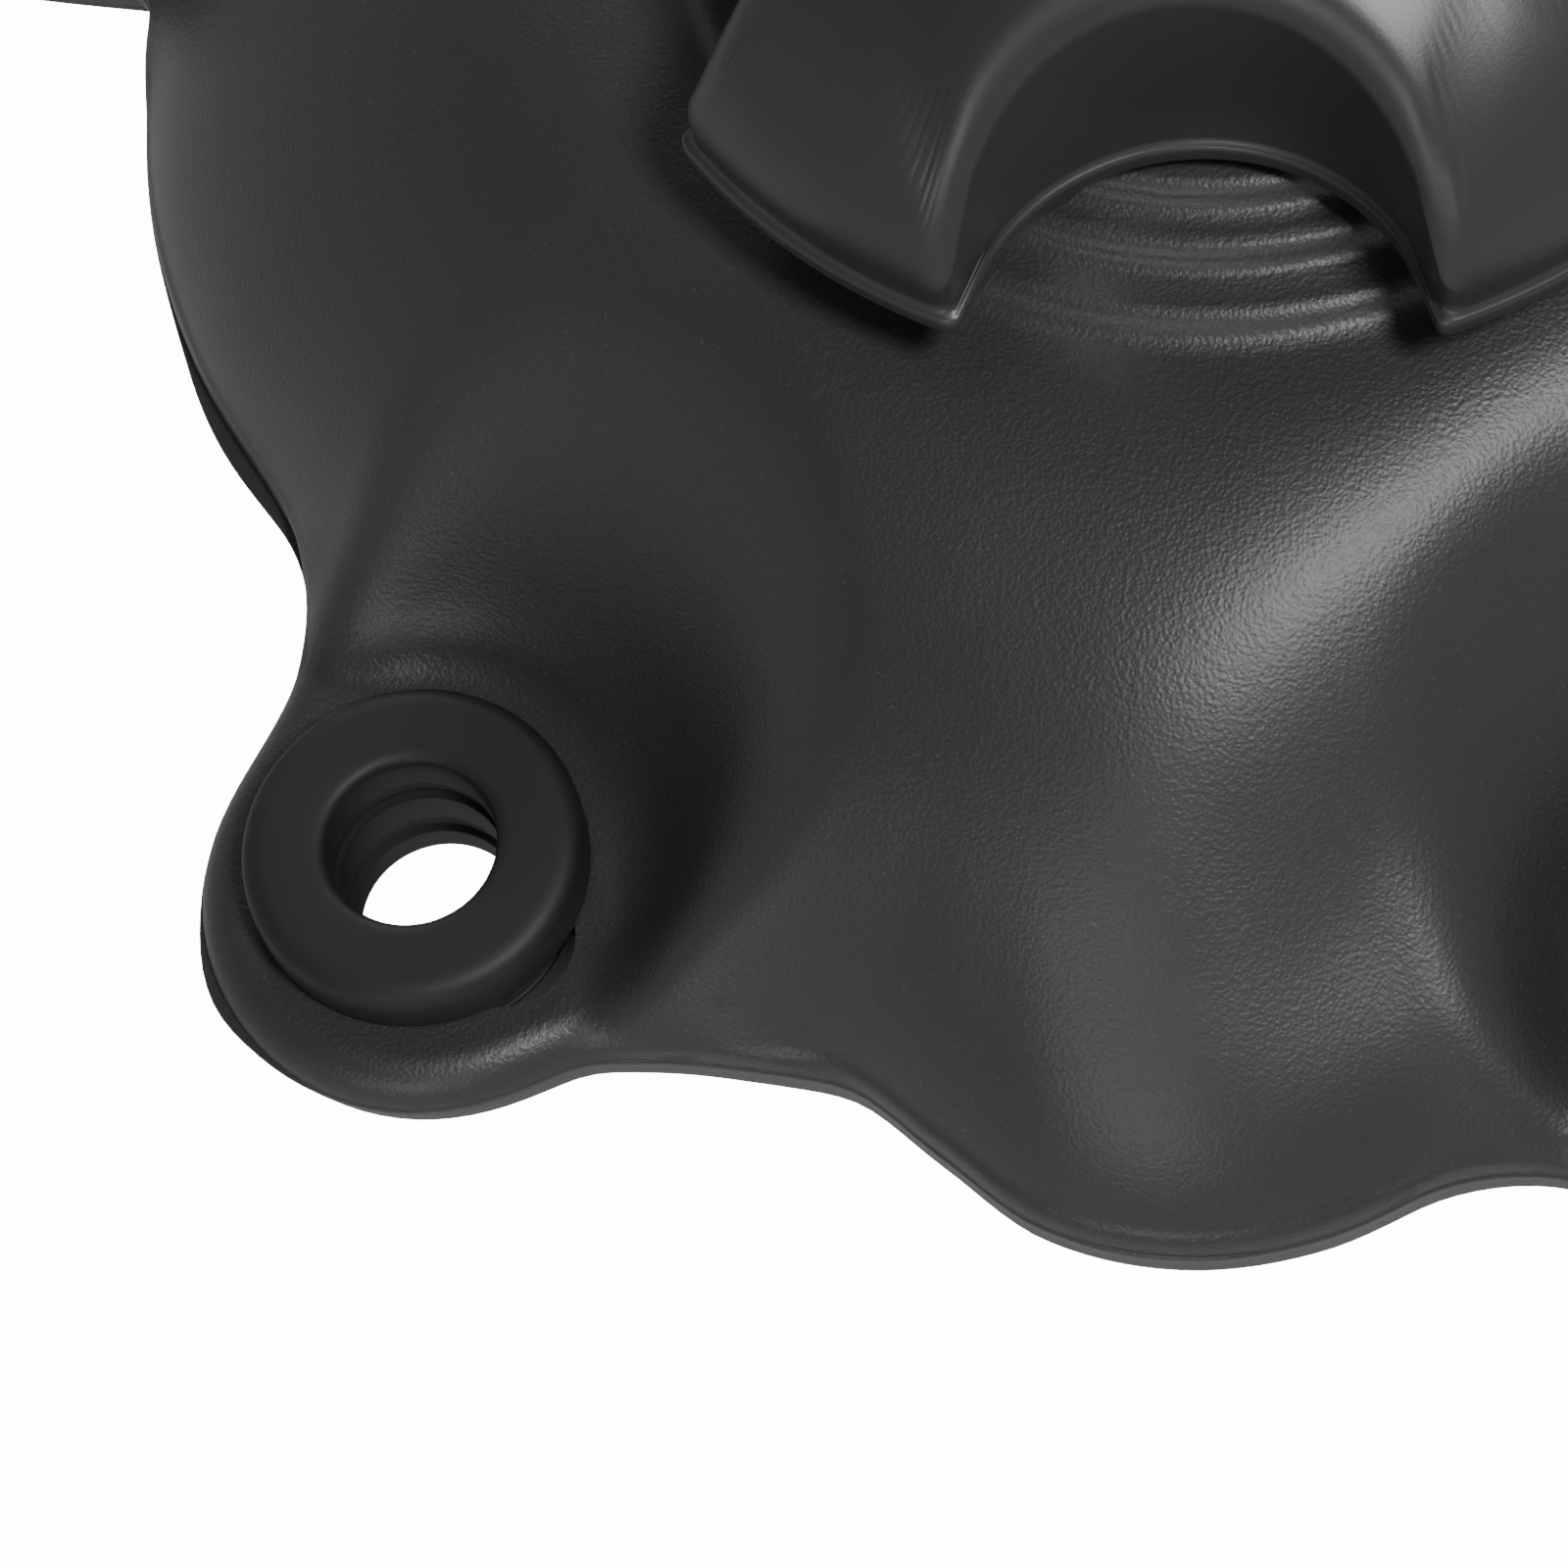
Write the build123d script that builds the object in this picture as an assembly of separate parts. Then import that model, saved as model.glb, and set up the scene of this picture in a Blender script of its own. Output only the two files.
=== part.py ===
"""Small-engine fuel tank: hollow two-half body with rubber-mounted ears, five-lobe
screw filler cap and a three-position fuel tap under the rear overhang.

Frame (millimetres): +Z up, the flat base at z = 0, the filler neck's axis at x = y = 0,
the nose towards -Y and the fuel tap under the rear, +Y.
"""
from build123d import *
from math import atan2, cos, degrees, hypot, radians, sin
import os

# ---- tank body ----
WALL = 3.0
BASE_DEPTH = 45.0
BASE_EDGE_R = 10.0
SKIRT_H = 11.0
SKIRT_EDGE_R = 6.0
DOME_TOP_H = 26.5
DOME_FOOT_R = 61.0
DOME_TOP_R = 35.0
NOSE_FRONT_Y = -76.0
NOSE_FRONT_HALF = 17.0
NOSE_ROOT_Y = -30.0
NOSE_ROOT_HALF = 33.0
NOSE_H = 24.0
NOSE_TAPER = 31.0
REAR_Y = 84.0
REAR_HALF = 50.0
REAR_H = 22.0
REAR_TAPER = 32.0
FLANK_HALF = 67.0
FLANK_REAR_Y = 30.0
OVERHANG = 37.0
CHIN_RUN = 22.0
CHIN_LIP = 5.0
OUTLINE_R = 6.0
NOSE_OUTLINE_R = 4.0
NOSE_FLARE = 4.0
NOSE_FLARE_Y = 3.0
SHOULDER_OUT = 9.9
SHOULDER_BACK = 24.0
FLANK_AHEAD = 22.0

# ---- mounting ears and their rubber grommets ----
EAR_FRONT_X = 39.9
EAR_FRONT_Y = -58.5
EAR_SIDE_OUT = 13.0
EAR_SIDE_Y = 12.0
EAR_RIM = 3.2
EAR_T = 5.0
EAR_ROOT_SHARE = 3
SLOT_GAP = 0.2
SLOT_REACH = 1.0
SLOT_HALF = 4.2
GROMMET_R = 10.0
GROMMET_NECK_R = 7.5
GROMMET_TOP = 4.0
GROMMET_FOOT = 3.7
GROMMET_BORE_R = 4.95
GROMMET_GROOVE = 0.5
GROMMET_GROOVE_W = 1.6
GROMMET_EDGE_R = 1.4

# ---- filler neck and its screw thread ----
NECK_R = 17.3
NECK_WALL = 2.8
NECK_TOP_H = 43.0
RING_STEPS = ((14.2, 26.9), (10.7, 28.4), (7.7, 29.9))
THREAD_PITCH = 5.0
THREAD_TURNS = 1.5
THREAD_DEPTH = 1.3
THREAD_ROOT_W = 2.0
THREAD_TIP_W = 1.0
THREAD_RIM_GAP = 0.9
THREAD_GAP = 0.35
THREAD_BITE = 0.4

# ---- filler cap ----
CAP_RING_GAP = 1.5
CAP_CROWN_T = 4.9
CAP_WALL = 2.8
CAP_DOME_R = 92.0
CAP_EDGE_R = 9.0
CAP_LOBE_OUT = 0.9
LOBES = 5
SCALLOP_R = 13.1
SCALLOP_FIRST = -84.1
SOCKET_WALL = 2.3
CORE_WALL = 2.05
CORE_LIFT = 0.5
CORE_TOP_T = 2.5
GASKET_T = 2.0
GASKET_IN = 1.3
VENT_STEM_R = 1.4
VENT_DISC_R = 5.0
VENT_DISC_T = 1.4
VENT_HOLE_R = 0.8
VENT_HOLE_AT = 3.25
BAFFLE_GAP = 1.7
BAFFLE_H = 4.0
BAFFLE_WALL = 1.0
BAFFLE_DRAINS = 4
CUT_SPARE = 1.0

# ---- fuel tap ----
TAP_INSET = 16.0
TAP_GASKET_T = 1.5
FLANGE_T = 4.0
FLANGE_W = 20.0
FLANGE_SCREW_X = 21.0
FLANGE_END_R = 7.0
TAP_WALL = 3.5
TAP_ROOF_GAP = 2.0
TAP_FLOOR_GAP = 2.0
TAP_BACK = 10.0
TAP_FRONT = 11.0
CHAMBER_R = 9.5
SEAL_T = 3.0
LEVER_DISC_T = 4.5
SPRING_T = 1.5
PLATE_T = 1.5
HUB_R = 6.4
RUN_GAP = 0.06
SPRING_GAP = 0.5
SPRING_WAVES = 6
HANDLE_CLEAR = 1.5
HANDLE_T = 5.0
HANDLE_REACH = 24.0
HANDLE_W = 9.0
PORT_R = 2.0
PORT_AT = 5.0
OUTLET_R = 3.0
OUTLET_BORE_R = 2.0
OUTLET_LENGTH = 22.0
OUTLET_SEAT = 5.0
OUTLET_STEP = 0.4
OUTLET_COLLAR_R = 4.2
OUTLET_COLLAR_T = 1.5
SCREW_R = 3.0
SCREW_GAP = 0.2
SCREW_SHORT = 1.0
SCREW_HEAD_R = 5.0
SCREW_HEAD_H = 4.0
WASHER_R = 6.0
WASHER_T = 1.0
INSERT_R = 4.5
INSERT_L = 9.0
BOSS_H = 12.0
PLATE_SCREW_R = 1.25
PLATE_SCREW_IN = 1.7
PLATE_SCREW_HEAD_R = 2.2
PLATE_SCREW_HEAD_H = 1.7
PLATE_SCREW_L = 8.0
STRAINER_R = 5.5
STRAINER_WALL = 0.6
STRAINER_TOP = 11.0
COLLAR_R = 6.4
COLLAR_GAP = 0.1
STANDPIPE_R = 1.8
STANDPIPE_BORE_R = 1.1
STANDPIPE_TOP = 8.0

# ---- derived heights, places and radii ----
SEAM_Z = BASE_DEPTH
STEP_Y = REAR_Y - OVERHANG
TAP_BODY_R = CHAMBER_R + TAP_WALL
TAP_AXIS_DROP = TAP_BODY_R + TAP_ROOF_GAP
STEP_Z = TAP_AXIS_DROP + TAP_BODY_R + TAP_FLOOR_GAP
EAR_R = GROMMET_R + EAR_RIM
EAR_SIDE_X = FLANK_HALF + EAR_SIDE_OUT
NECK_BORE_R = NECK_R - NECK_WALL
NECK_TOP = SEAM_Z + NECK_TOP_H
NECK_RINGS = [(NECK_R + out, SEAM_Z + height) for out, height in RING_STEPS]
THREAD_START = NECK_TOP - THREAD_RIM_GAP - THREAD_ROOT_W / 2 - THREAD_PITCH * THREAD_TURNS
CORE_ROOT_R = NECK_R + THREAD_DEPTH + THREAD_GAP
CORE_R = CORE_ROOT_R + CORE_WALL
CORE_CEILING = NECK_TOP + GASKET_T
CORE_TOP = CORE_CEILING + CORE_TOP_T
CAP_BASE = NECK_RINGS[-1][1] + CAP_RING_GAP
CAP_TOP = CORE_TOP + CAP_CROWN_T
CORE_FOOT = CAP_BASE + CORE_LIFT
SOCKET_R = CORE_R + SOCKET_WALL
SCALLOP_AT_R = SOCKET_R + SCALLOP_R
CAP_R = SCALLOP_AT_R + CAP_LOBE_OUT
GASKET_IN_R = NECK_BORE_R - GASKET_IN
BAFFLE_R = GASKET_IN_R - BAFFLE_GAP
TAP_Y = REAR_Y - TAP_INSET
TAP_FACE = STEP_Z
FLANGE_TOP = TAP_FACE - TAP_GASKET_T
FLANGE_FOOT = FLANGE_TOP - FLANGE_T
TAP_AXIS_Z = TAP_FACE - TAP_AXIS_DROP
PLATE_Y = TAP_Y + TAP_FRONT
CHAMBER_Y = PLATE_Y - SPRING_T - LEVER_DISC_T - SEAL_T
SEAL_FRONT = CHAMBER_Y + SEAL_T
LEVER_FRONT = SEAL_FRONT + LEVER_DISC_T
HANDLE_Y = REAR_Y + HANDLE_CLEAR
PLATE_SCREW_AT = CHAMBER_R + PLATE_SCREW_IN
EAR_CENTRES = {
    "front_left": (-EAR_FRONT_X, EAR_FRONT_Y),
    "front_right": (EAR_FRONT_X, EAR_FRONT_Y),
    "side_left": (-EAR_SIDE_X, EAR_SIDE_Y),
    "side_right": (EAR_SIDE_X, EAR_SIDE_Y),
}
FROM_BELOW = (Align.CENTER, Align.CENTER, Align.MIN)


def disc(radius, low, high, x=0.0, y=0.0):
    """Upright cylinder between two heights."""
    return Pos(x, y, low) * Cylinder(radius, high - low, align=FROM_BELOW)


def ring(outer, inner, low, high, x=0.0, y=0.0):
    """Upright tube between two heights."""
    return disc(outer, low, high, x, y) - disc(inner, low, high, x, y)


def rod_y(radius, start, end, x=0.0, z=0.0):
    """Cylinder along +Y between two stations."""
    return Pos(x, start, z) * Rot(-90, 0, 0) * Cylinder(radius, end - start, align=FROM_BELOW)


def mirrored(points):
    """Closed outline from its right-hand points, front to rear."""
    return points + [(-x, y) for x, y in reversed(points)]


def outline_face(points, radius, inset):
    """Rounded outline on the seam plane, moved inwards by the inset."""
    loop = FilletPolyline(*mirrored(points), radius=radius, close=True)
    face = make_face(loop)
    if inset > 0:
        face = offset(face, amount=-inset)
    return Pos(0, 0, SEAM_Z) * face


def body_outline(inset):
    """Seam outline of the hollow body, without the ears."""
    points = [
        (NOSE_FRONT_HALF, NOSE_FRONT_Y),
        (NOSE_FRONT_HALF + NOSE_FLARE, EAR_FRONT_Y + NOSE_FLARE_Y),
        (EAR_FRONT_X + SHOULDER_OUT, EAR_FRONT_Y + SHOULDER_BACK),
        (FLANK_HALF, EAR_SIDE_Y - FLANK_AHEAD),
        (FLANK_HALF, FLANK_REAR_Y),
        (REAR_HALF, REAR_Y),
    ]
    return outline_face(points, OUTLINE_R, inset)


def lower_half(inset):
    """Lower half down to the base, with a leaning chin and the raised rear overhang."""
    floor = inset
    block = extrude(body_outline(inset), amount=-(BASE_DEPTH - floor))
    edges = block.edges().group_by(Axis.Z)[0]
    block = fillet(edges, BASE_EDGE_R - inset)
    span = 2.0 * (FLANK_HALF + EAR_R)
    notch = Pos(0, STEP_Y - inset, 0) * Box(
        span, span, STEP_Z + inset, align=(Align.CENTER, Align.MIN, Align.MIN)
    )
    lean = atan2(CHIN_RUN, BASE_DEPTH - CHIN_LIP)
    chin = Pos(0, NOSE_FRONT_Y + inset / cos(lean), SEAM_Z - CHIN_LIP) * Rot(degrees(lean), 0, 0) * Box(
        span, span, 2 * BASE_DEPTH + span, align=(Align.CENTER, Align.MAX, Align.CENTER)
    )
    return block - notch - chin


def upper_half(inset):
    """Skirt, dome, nose ridge and rear deck above the seam."""
    skirt = extrude(body_outline(inset), amount=SKIRT_H - inset)
    skirt = fillet(skirt.edges().group_by(Axis.Z)[-1], SKIRT_EDGE_R - inset)
    dome = Pos(0, 0, SEAM_Z) * Cone(
        DOME_FOOT_R - inset, DOME_TOP_R - inset, DOME_TOP_H - inset, align=FROM_BELOW
    )
    nose_points = [(NOSE_FRONT_HALF, NOSE_FRONT_Y), (NOSE_ROOT_HALF, NOSE_ROOT_Y), (NOSE_ROOT_HALF, 0.0)]
    nose = extrude(outline_face(nose_points, NOSE_OUTLINE_R, inset), amount=NOSE_H - inset, taper=NOSE_TAPER)
    rear_points = [(FLANK_HALF, 0.0), (FLANK_HALF, FLANK_REAR_Y), (REAR_HALF, REAR_Y)]
    rear = extrude(outline_face(rear_points, OUTLINE_R, inset), amount=REAR_H - inset, taper=REAR_TAPER)
    return skirt + dome + nose + rear


def slot_cut(x, y):
    """Keyhole in the ear: round the grommet's neck, with a slot that runs past its rim on one side."""
    low = SEAM_Z - EAR_T
    high = SEAM_Z + EAR_T
    travel = GROMMET_R + SLOT_REACH - SLOT_HALF
    along = atan2(y, x) + radians(90 if x < 0 else -90)
    end = disc(SLOT_HALF, low, high, x + travel * cos(along), y + travel * sin(along))
    way = Pos(x, y, low) * Rot(0, 0, degrees(along)) * Box(
        travel, 2 * SLOT_HALF, high - low, align=(Align.MIN, Align.CENTER, Align.MIN)
    )
    return disc(GROMMET_NECK_R + SLOT_GAP, low, high, x, y) + way + end


def ear(x, y):
    """Flat ear: a round lobe with a root that runs back into the body."""
    length = hypot(x, y)
    low = SEAM_Z - EAR_T / 2
    root = Pos(x, y, low) * Rot(0, 0, degrees(atan2(-y, -x))) * Box(
        length / EAR_ROOT_SHARE, 2 * EAR_R, EAR_T, align=(Align.MIN, Align.CENTER, Align.MIN)
    )
    return disc(EAR_R, low, low + EAR_T, x, y) + root


def thread_ridge(radius, outward, start):
    """Right-hand helical ridge, standing outwards or inwards from the given radius."""
    side = 1.0 if outward else -1.0
    path = Helix(pitch=THREAD_PITCH, height=THREAD_PITCH * THREAD_TURNS, radius=radius)
    section_plane = Plane(origin=path @ 0, x_dir=(1, 0, 0), z_dir=path % 0)
    section = section_plane * Polygon(
        (-THREAD_BITE * side, -THREAD_ROOT_W / 2),
        (-THREAD_BITE * side, THREAD_ROOT_W / 2),
        (THREAD_DEPTH * side, THREAD_TIP_W / 2),
        (THREAD_DEPTH * side, -THREAD_TIP_W / 2),
        align=None,
    )
    ridge = sweep(section, path=path, is_frenet=True)
    return Pos(0, 0, start) * ridge


def tank_shell():
    """Hollow body, ears, filler neck with its thread, and the tap's boss."""
    outer = lower_half(0.0) + upper_half(0.0)
    for x, y in EAR_CENTRES.values():
        outer = outer + ear(x, y)
    for radius, height in NECK_RINGS:
        outer = outer + disc(radius, SEAM_Z, height)
    neck = disc(NECK_R, SEAM_Z, NECK_TOP)
    cavity = lower_half(WALL) + upper_half(WALL)
    bore = disc(NECK_BORE_R, SEAM_Z, NECK_TOP)
    boss = Pos(0, TAP_Y, TAP_FACE) * Box(
        2 * (FLANGE_SCREW_X + FLANGE_END_R), FLANGE_W, BOSS_H, align=FROM_BELOW
    )
    shell = outer + neck - cavity - bore + boss
    for x, y in EAR_CENTRES.values():
        shell = shell - slot_cut(x, y)
    for x in (-FLANGE_SCREW_X, FLANGE_SCREW_X):
        shell = shell - disc(INSERT_R, TAP_FACE, TAP_FACE + INSERT_L, x, TAP_Y)
    shell = shell - disc(COLLAR_R + COLLAR_GAP, TAP_FACE, TAP_FACE + BOSS_H, 0, TAP_Y)
    return shell + thread_ridge(NECK_R, True, THREAD_START)


def grommet(x, y):
    """Flanged rubber grommet with a grooved through bore."""
    top = EAR_T / 2 + GROMMET_TOP
    foot = -EAR_T / 2 - GROMMET_FOOT
    low = SEAM_Z + foot
    high = SEAM_Z + top
    body = disc(GROMMET_R, low, high, x, y)
    body = fillet(body.edges(), GROMMET_EDGE_R)
    waist = ring(GROMMET_R + GROMMET_EDGE_R, GROMMET_NECK_R, SEAM_Z - EAR_T / 2, SEAM_Z + EAR_T / 2, x, y)
    body = body - waist - disc(GROMMET_BORE_R, low, high, x, y)
    for middle in (SEAM_Z + EAR_T / 2, SEAM_Z - EAR_T / 2):
        half = GROMMET_GROOVE_W / 2
        body = body - ring(
            GROMMET_BORE_R + GROMMET_GROOVE, GROMMET_BORE_R / 2, middle - half, middle + half, x, y
        )
    return body


def scallops(radius, low, high):
    """Round finger hollows about the cap's rim."""
    cuts = []
    for lobe in range(LOBES):
        turn = radians(SCALLOP_FIRST + lobe * 360.0 / LOBES)
        cuts.append(disc(radius, low, high, SCALLOP_AT_R * cos(turn), SCALLOP_AT_R * sin(turn)))
    return cuts


def cap_blank(inset):
    """Domed disc, rounded at its shoulder, moved inwards by the inset."""
    top = CAP_TOP - inset
    radius = CAP_R - inset
    shoulder = top - CAP_DOME_R + (CAP_DOME_R ** 2 - radius ** 2) ** 0.5
    middle_z = top - CAP_DOME_R + (CAP_DOME_R ** 2 - radius ** 2 / 4) ** 0.5
    base_line = Line((0, CAP_BASE), (radius, CAP_BASE))
    side_line = Line((radius, CAP_BASE), (radius, shoulder))
    dome_line = ThreePointArc((radius, shoulder), (radius / 2, middle_z), (0, top))
    axis_line = Line((0, top), (0, CAP_BASE))
    profile = make_face(Curve() + [base_line, side_line, dome_line, axis_line])
    corner = profile.vertices().filter_by(lambda point: abs(point.Y - shoulder) < COLLAR_GAP)
    profile = fillet(corner, CAP_EDGE_R)
    return revolve(Plane.XZ * profile, Axis.Z)


def cap_shell():
    """Five-lobe grip, hollow under the lobes, with a socket for the threaded core."""
    grip = cap_blank(0.0)
    hollow = cap_blank(CAP_WALL) - disc(SOCKET_R, CAP_BASE, CAP_TOP)
    for cut in scallops(SCALLOP_R, CAP_BASE - CUT_SPARE, CAP_TOP + CUT_SPARE):
        grip = grip - cut
    for cut in scallops(SCALLOP_R + CAP_WALL, CAP_BASE - CUT_SPARE, CAP_TOP + CUT_SPARE):
        hollow = hollow - cut
    return grip - hollow - disc(CORE_R, CAP_BASE, CORE_TOP)


def cap_core():
    """Threaded cup that seats in the grip and holds the gasket and the vent."""
    cup = disc(CORE_R, CORE_FOOT, CORE_TOP) - disc(CORE_ROOT_R, CORE_FOOT, CORE_CEILING)
    cup = cup - disc(VENT_STEM_R, CORE_CEILING, CORE_TOP)
    for side in (-1, 1):
        cup = cup - disc(VENT_HOLE_R, CORE_CEILING, CORE_TOP, side * VENT_HOLE_AT, 0)
    ridge = thread_ridge(CORE_ROOT_R, False, THREAD_START - THREAD_PITCH / 2)
    keep = disc(CORE_R, CORE_FOOT, CORE_CEILING)
    return cup + (ridge & keep)


def cap_gasket():
    """Flat ring squeezed between the neck's rim and the core."""
    return ring(CORE_ROOT_R - COLLAR_GAP, GASKET_IN_R, NECK_TOP, CORE_CEILING)


def vent_valve():
    """Rubber umbrella valve over the two vent holes."""
    umbrella = disc(VENT_DISC_R, CORE_CEILING - VENT_DISC_T, CORE_CEILING)
    return umbrella + disc(VENT_STEM_R, CORE_CEILING, CORE_TOP)


def vent_baffle():
    """Splash cup under the vent valve, with drain holes."""
    foot = CORE_CEILING - BAFFLE_H
    cup = disc(BAFFLE_R, foot, CORE_CEILING) - disc(BAFFLE_R - BAFFLE_WALL, foot + BAFFLE_WALL, CORE_CEILING)
    for count in range(BAFFLE_DRAINS):
        turn = radians(360 * (count + 0.5) / BAFFLE_DRAINS)
        x = BAFFLE_R / 2 * cos(turn)
        y = BAFFLE_R / 2 * sin(turn)
        cup = cup - disc(VENT_HOLE_R, foot, foot + BAFFLE_WALL, x, y)
    return cup


def flange_face(height):
    """Two-screw flange outline at a height."""
    ends = [Pos(x, TAP_Y, height) * Circle(FLANGE_END_R) for x in (-FLANGE_SCREW_X, FLANGE_SCREW_X)]
    middle = Pos(0, TAP_Y, height) * Rectangle(2 * FLANGE_SCREW_X, 2 * FLANGE_END_R)
    hub = Pos(0, TAP_Y, height) * Circle(FLANGE_W / 2)
    return ends[0] + ends[1] + middle + hub


def flange_plate(low, high, centre_r):
    """Flange plate with two screw holes and a centre hole."""
    plate = extrude(flange_face(low), amount=high - low)
    for x in (-FLANGE_SCREW_X, FLANGE_SCREW_X):
        plate = plate - disc(SCREW_R + SCREW_GAP, low, high, x, TAP_Y)
    if centre_r > 0:
        plate = plate - disc(centre_r, low, high, 0, TAP_Y)
    return plate


def tap_gasket():
    """Flat gasket between the tank's boss and the tap's flange."""
    return flange_plate(FLANGE_TOP, TAP_FACE, COLLAR_R + COLLAR_GAP)


def tap_body():
    """Cast tap body: flange, valve chamber facing the rear and drilled fuel ways."""
    body = flange_plate(FLANGE_FOOT, FLANGE_TOP, 0.0)
    body = body + rod_y(TAP_BODY_R, TAP_Y - TAP_BACK, PLATE_Y, 0, TAP_AXIS_Z)
    body = body - rod_y(CHAMBER_R, CHAMBER_Y, PLATE_Y, 0, TAP_AXIS_Z)
    feed_y = CHAMBER_Y - 2 * PORT_R
    feed_z = TAP_AXIS_Z + PORT_AT
    body = body - disc(PORT_R, feed_z, FLANGE_TOP, 0, feed_y)
    body = body - rod_y(PORT_R, feed_y, CHAMBER_Y, 0, feed_z)
    body = body - disc(STANDPIPE_R, FLANGE_TOP - FLANGE_T, FLANGE_TOP, 0, TAP_Y + PORT_R)
    drain_z = TAP_AXIS_Z - PORT_AT
    body = body - rod_y(PORT_R, feed_y, CHAMBER_Y, 0, drain_z)
    way = Pos(0, feed_y, drain_z) * Rot(0, -90, 0)
    body = body - way * Cylinder(PORT_R, TAP_BODY_R, align=FROM_BELOW)
    seat = Pos(-TAP_BODY_R + OUTLET_SEAT, feed_y, drain_z) * Rot(0, -90, 0)
    body = body - seat * Cylinder(OUTLET_R - OUTLET_STEP, TAP_BODY_R, align=FROM_BELOW)
    for side in (-1, 1):
        hole_y = PLATE_Y - PLATE_SCREW_L + PLATE_T
        body = body - rod_y(PLATE_SCREW_R, hole_y, PLATE_Y, side * PLATE_SCREW_AT, TAP_AXIS_Z)
    return body


def tap_outlet():
    """Brass hose spigot: a shank pressed into the tap's side, a collar and the hose's pipe."""
    feed_y = CHAMBER_Y - 2 * PORT_R
    place = Pos(-TAP_BODY_R + OUTLET_SEAT, feed_y, TAP_AXIS_Z - PORT_AT) * Rot(0, -90, 0)
    tip = OUTLET_SEAT + OUTLET_LENGTH
    shoulder = OUTLET_SEAT + OUTLET_COLLAR_T
    pipe = disc(OUTLET_R, shoulder, tip)
    pipe = chamfer(pipe.edges().group_by(Axis.Z)[-1], OUTLET_R / 6)
    pipe = pipe + disc(OUTLET_COLLAR_R, OUTLET_SEAT, shoulder) + disc(OUTLET_R - OUTLET_STEP, 0, OUTLET_SEAT)
    return place * (pipe - disc(OUTLET_BORE_R, 0, tip))


def tap_valve_seal():
    """Rubber port disc at the bottom of the chamber."""
    seal = rod_y(CHAMBER_R - RUN_GAP, CHAMBER_Y, SEAL_FRONT, 0, TAP_AXIS_Z)
    for x, z in ((PORT_AT, 0), (-PORT_AT, 0), (0, PORT_AT), (0, -PORT_AT)):
        seal = seal - rod_y(PORT_R, CHAMBER_Y, SEAL_FRONT, x, TAP_AXIS_Z + z)
    return seal


def tap_lever():
    """Valve disc, hub and handle in one piece; the handle points up when closed."""
    lever = rod_y(CHAMBER_R - RUN_GAP, SEAL_FRONT, LEVER_FRONT, 0, TAP_AXIS_Z)
    groove = rod_y(PORT_AT + PORT_R, SEAL_FRONT, SEAL_FRONT + PORT_R, 0, TAP_AXIS_Z)
    groove = groove - rod_y(PORT_AT - PORT_R, SEAL_FRONT, SEAL_FRONT + PORT_R, 0, TAP_AXIS_Z)
    half = Pos(0, SEAL_FRONT, TAP_AXIS_Z) * Box(
        CHAMBER_R, PORT_R, 2 * CHAMBER_R, align=(Align.MIN, Align.MIN, Align.CENTER)
    )
    lever = lever - (groove & half)
    lever = lever + rod_y(HUB_R, LEVER_FRONT, HANDLE_Y + HANDLE_T, 0, TAP_AXIS_Z)
    grip = Pos(0, HANDLE_Y, TAP_AXIS_Z) * Box(
        HANDLE_W, HANDLE_T, HANDLE_REACH - HANDLE_W / 2, align=(Align.CENTER, Align.MIN, Align.MIN)
    )
    tip = rod_y(HANDLE_W / 2, HANDLE_Y, HANDLE_Y + HANDLE_T, 0, TAP_AXIS_Z + HANDLE_REACH - HANDLE_W / 2)
    return lever + grip + tip


def tap_wave_spring():
    """Wave washer that presses the lever's disc on the seal."""
    washer = rod_y(CHAMBER_R - SPRING_GAP, LEVER_FRONT, PLATE_Y, 0, TAP_AXIS_Z)
    washer = washer - rod_y(HUB_R + SPRING_GAP, LEVER_FRONT, PLATE_Y, 0, TAP_AXIS_Z)
    for count in range(SPRING_WAVES):
        front = count % 2 == 0
        start = LEVER_FRONT + SPRING_T / 2 if front else LEVER_FRONT
        turn = Rot(0, 360 * count / SPRING_WAVES, 0)
        bite = Pos(0, start, 0) * Box(
            CHAMBER_R / 2, SPRING_T / 2, CHAMBER_R, align=(Align.CENTER, Align.MIN, Align.MIN)
        )
        washer = washer - Pos(0, 0, TAP_AXIS_Z) * turn * bite
    return washer


def tap_face_plate():
    """Steel plate that holds the lever in the chamber."""
    plate = rod_y(TAP_BODY_R, PLATE_Y, PLATE_Y + PLATE_T, 0, TAP_AXIS_Z)
    plate = plate - rod_y(HUB_R + RUN_GAP, PLATE_Y, PLATE_Y + PLATE_T, 0, TAP_AXIS_Z)
    for side in (-1, 1):
        plate = plate - rod_y(
            PLATE_SCREW_R + SCREW_GAP, PLATE_Y, PLATE_Y + PLATE_T, side * PLATE_SCREW_AT, TAP_AXIS_Z
        )
    return plate


def tap_plate_screws():
    """Two small screws through the face plate."""
    screws = []
    for side in (-1, 1):
        start = PLATE_Y + PLATE_T - PLATE_SCREW_L
        head = PLATE_Y + PLATE_T
        shank = rod_y(PLATE_SCREW_R, start, head, side * PLATE_SCREW_AT, TAP_AXIS_Z)
        cap = rod_y(PLATE_SCREW_HEAD_R, head, head + PLATE_SCREW_HEAD_H, side * PLATE_SCREW_AT, TAP_AXIS_Z)
        slot = Pos(side * PLATE_SCREW_AT, head + PLATE_SCREW_HEAD_H / 2, TAP_AXIS_Z) * Box(
            2 * PLATE_SCREW_HEAD_R, PLATE_SCREW_HEAD_H, PLATE_SCREW_HEAD_R / 3,
            align=(Align.CENTER, Align.MIN, Align.CENTER),
        )
        screws.append(shank + cap - slot)
    return Compound(children=screws)


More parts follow.
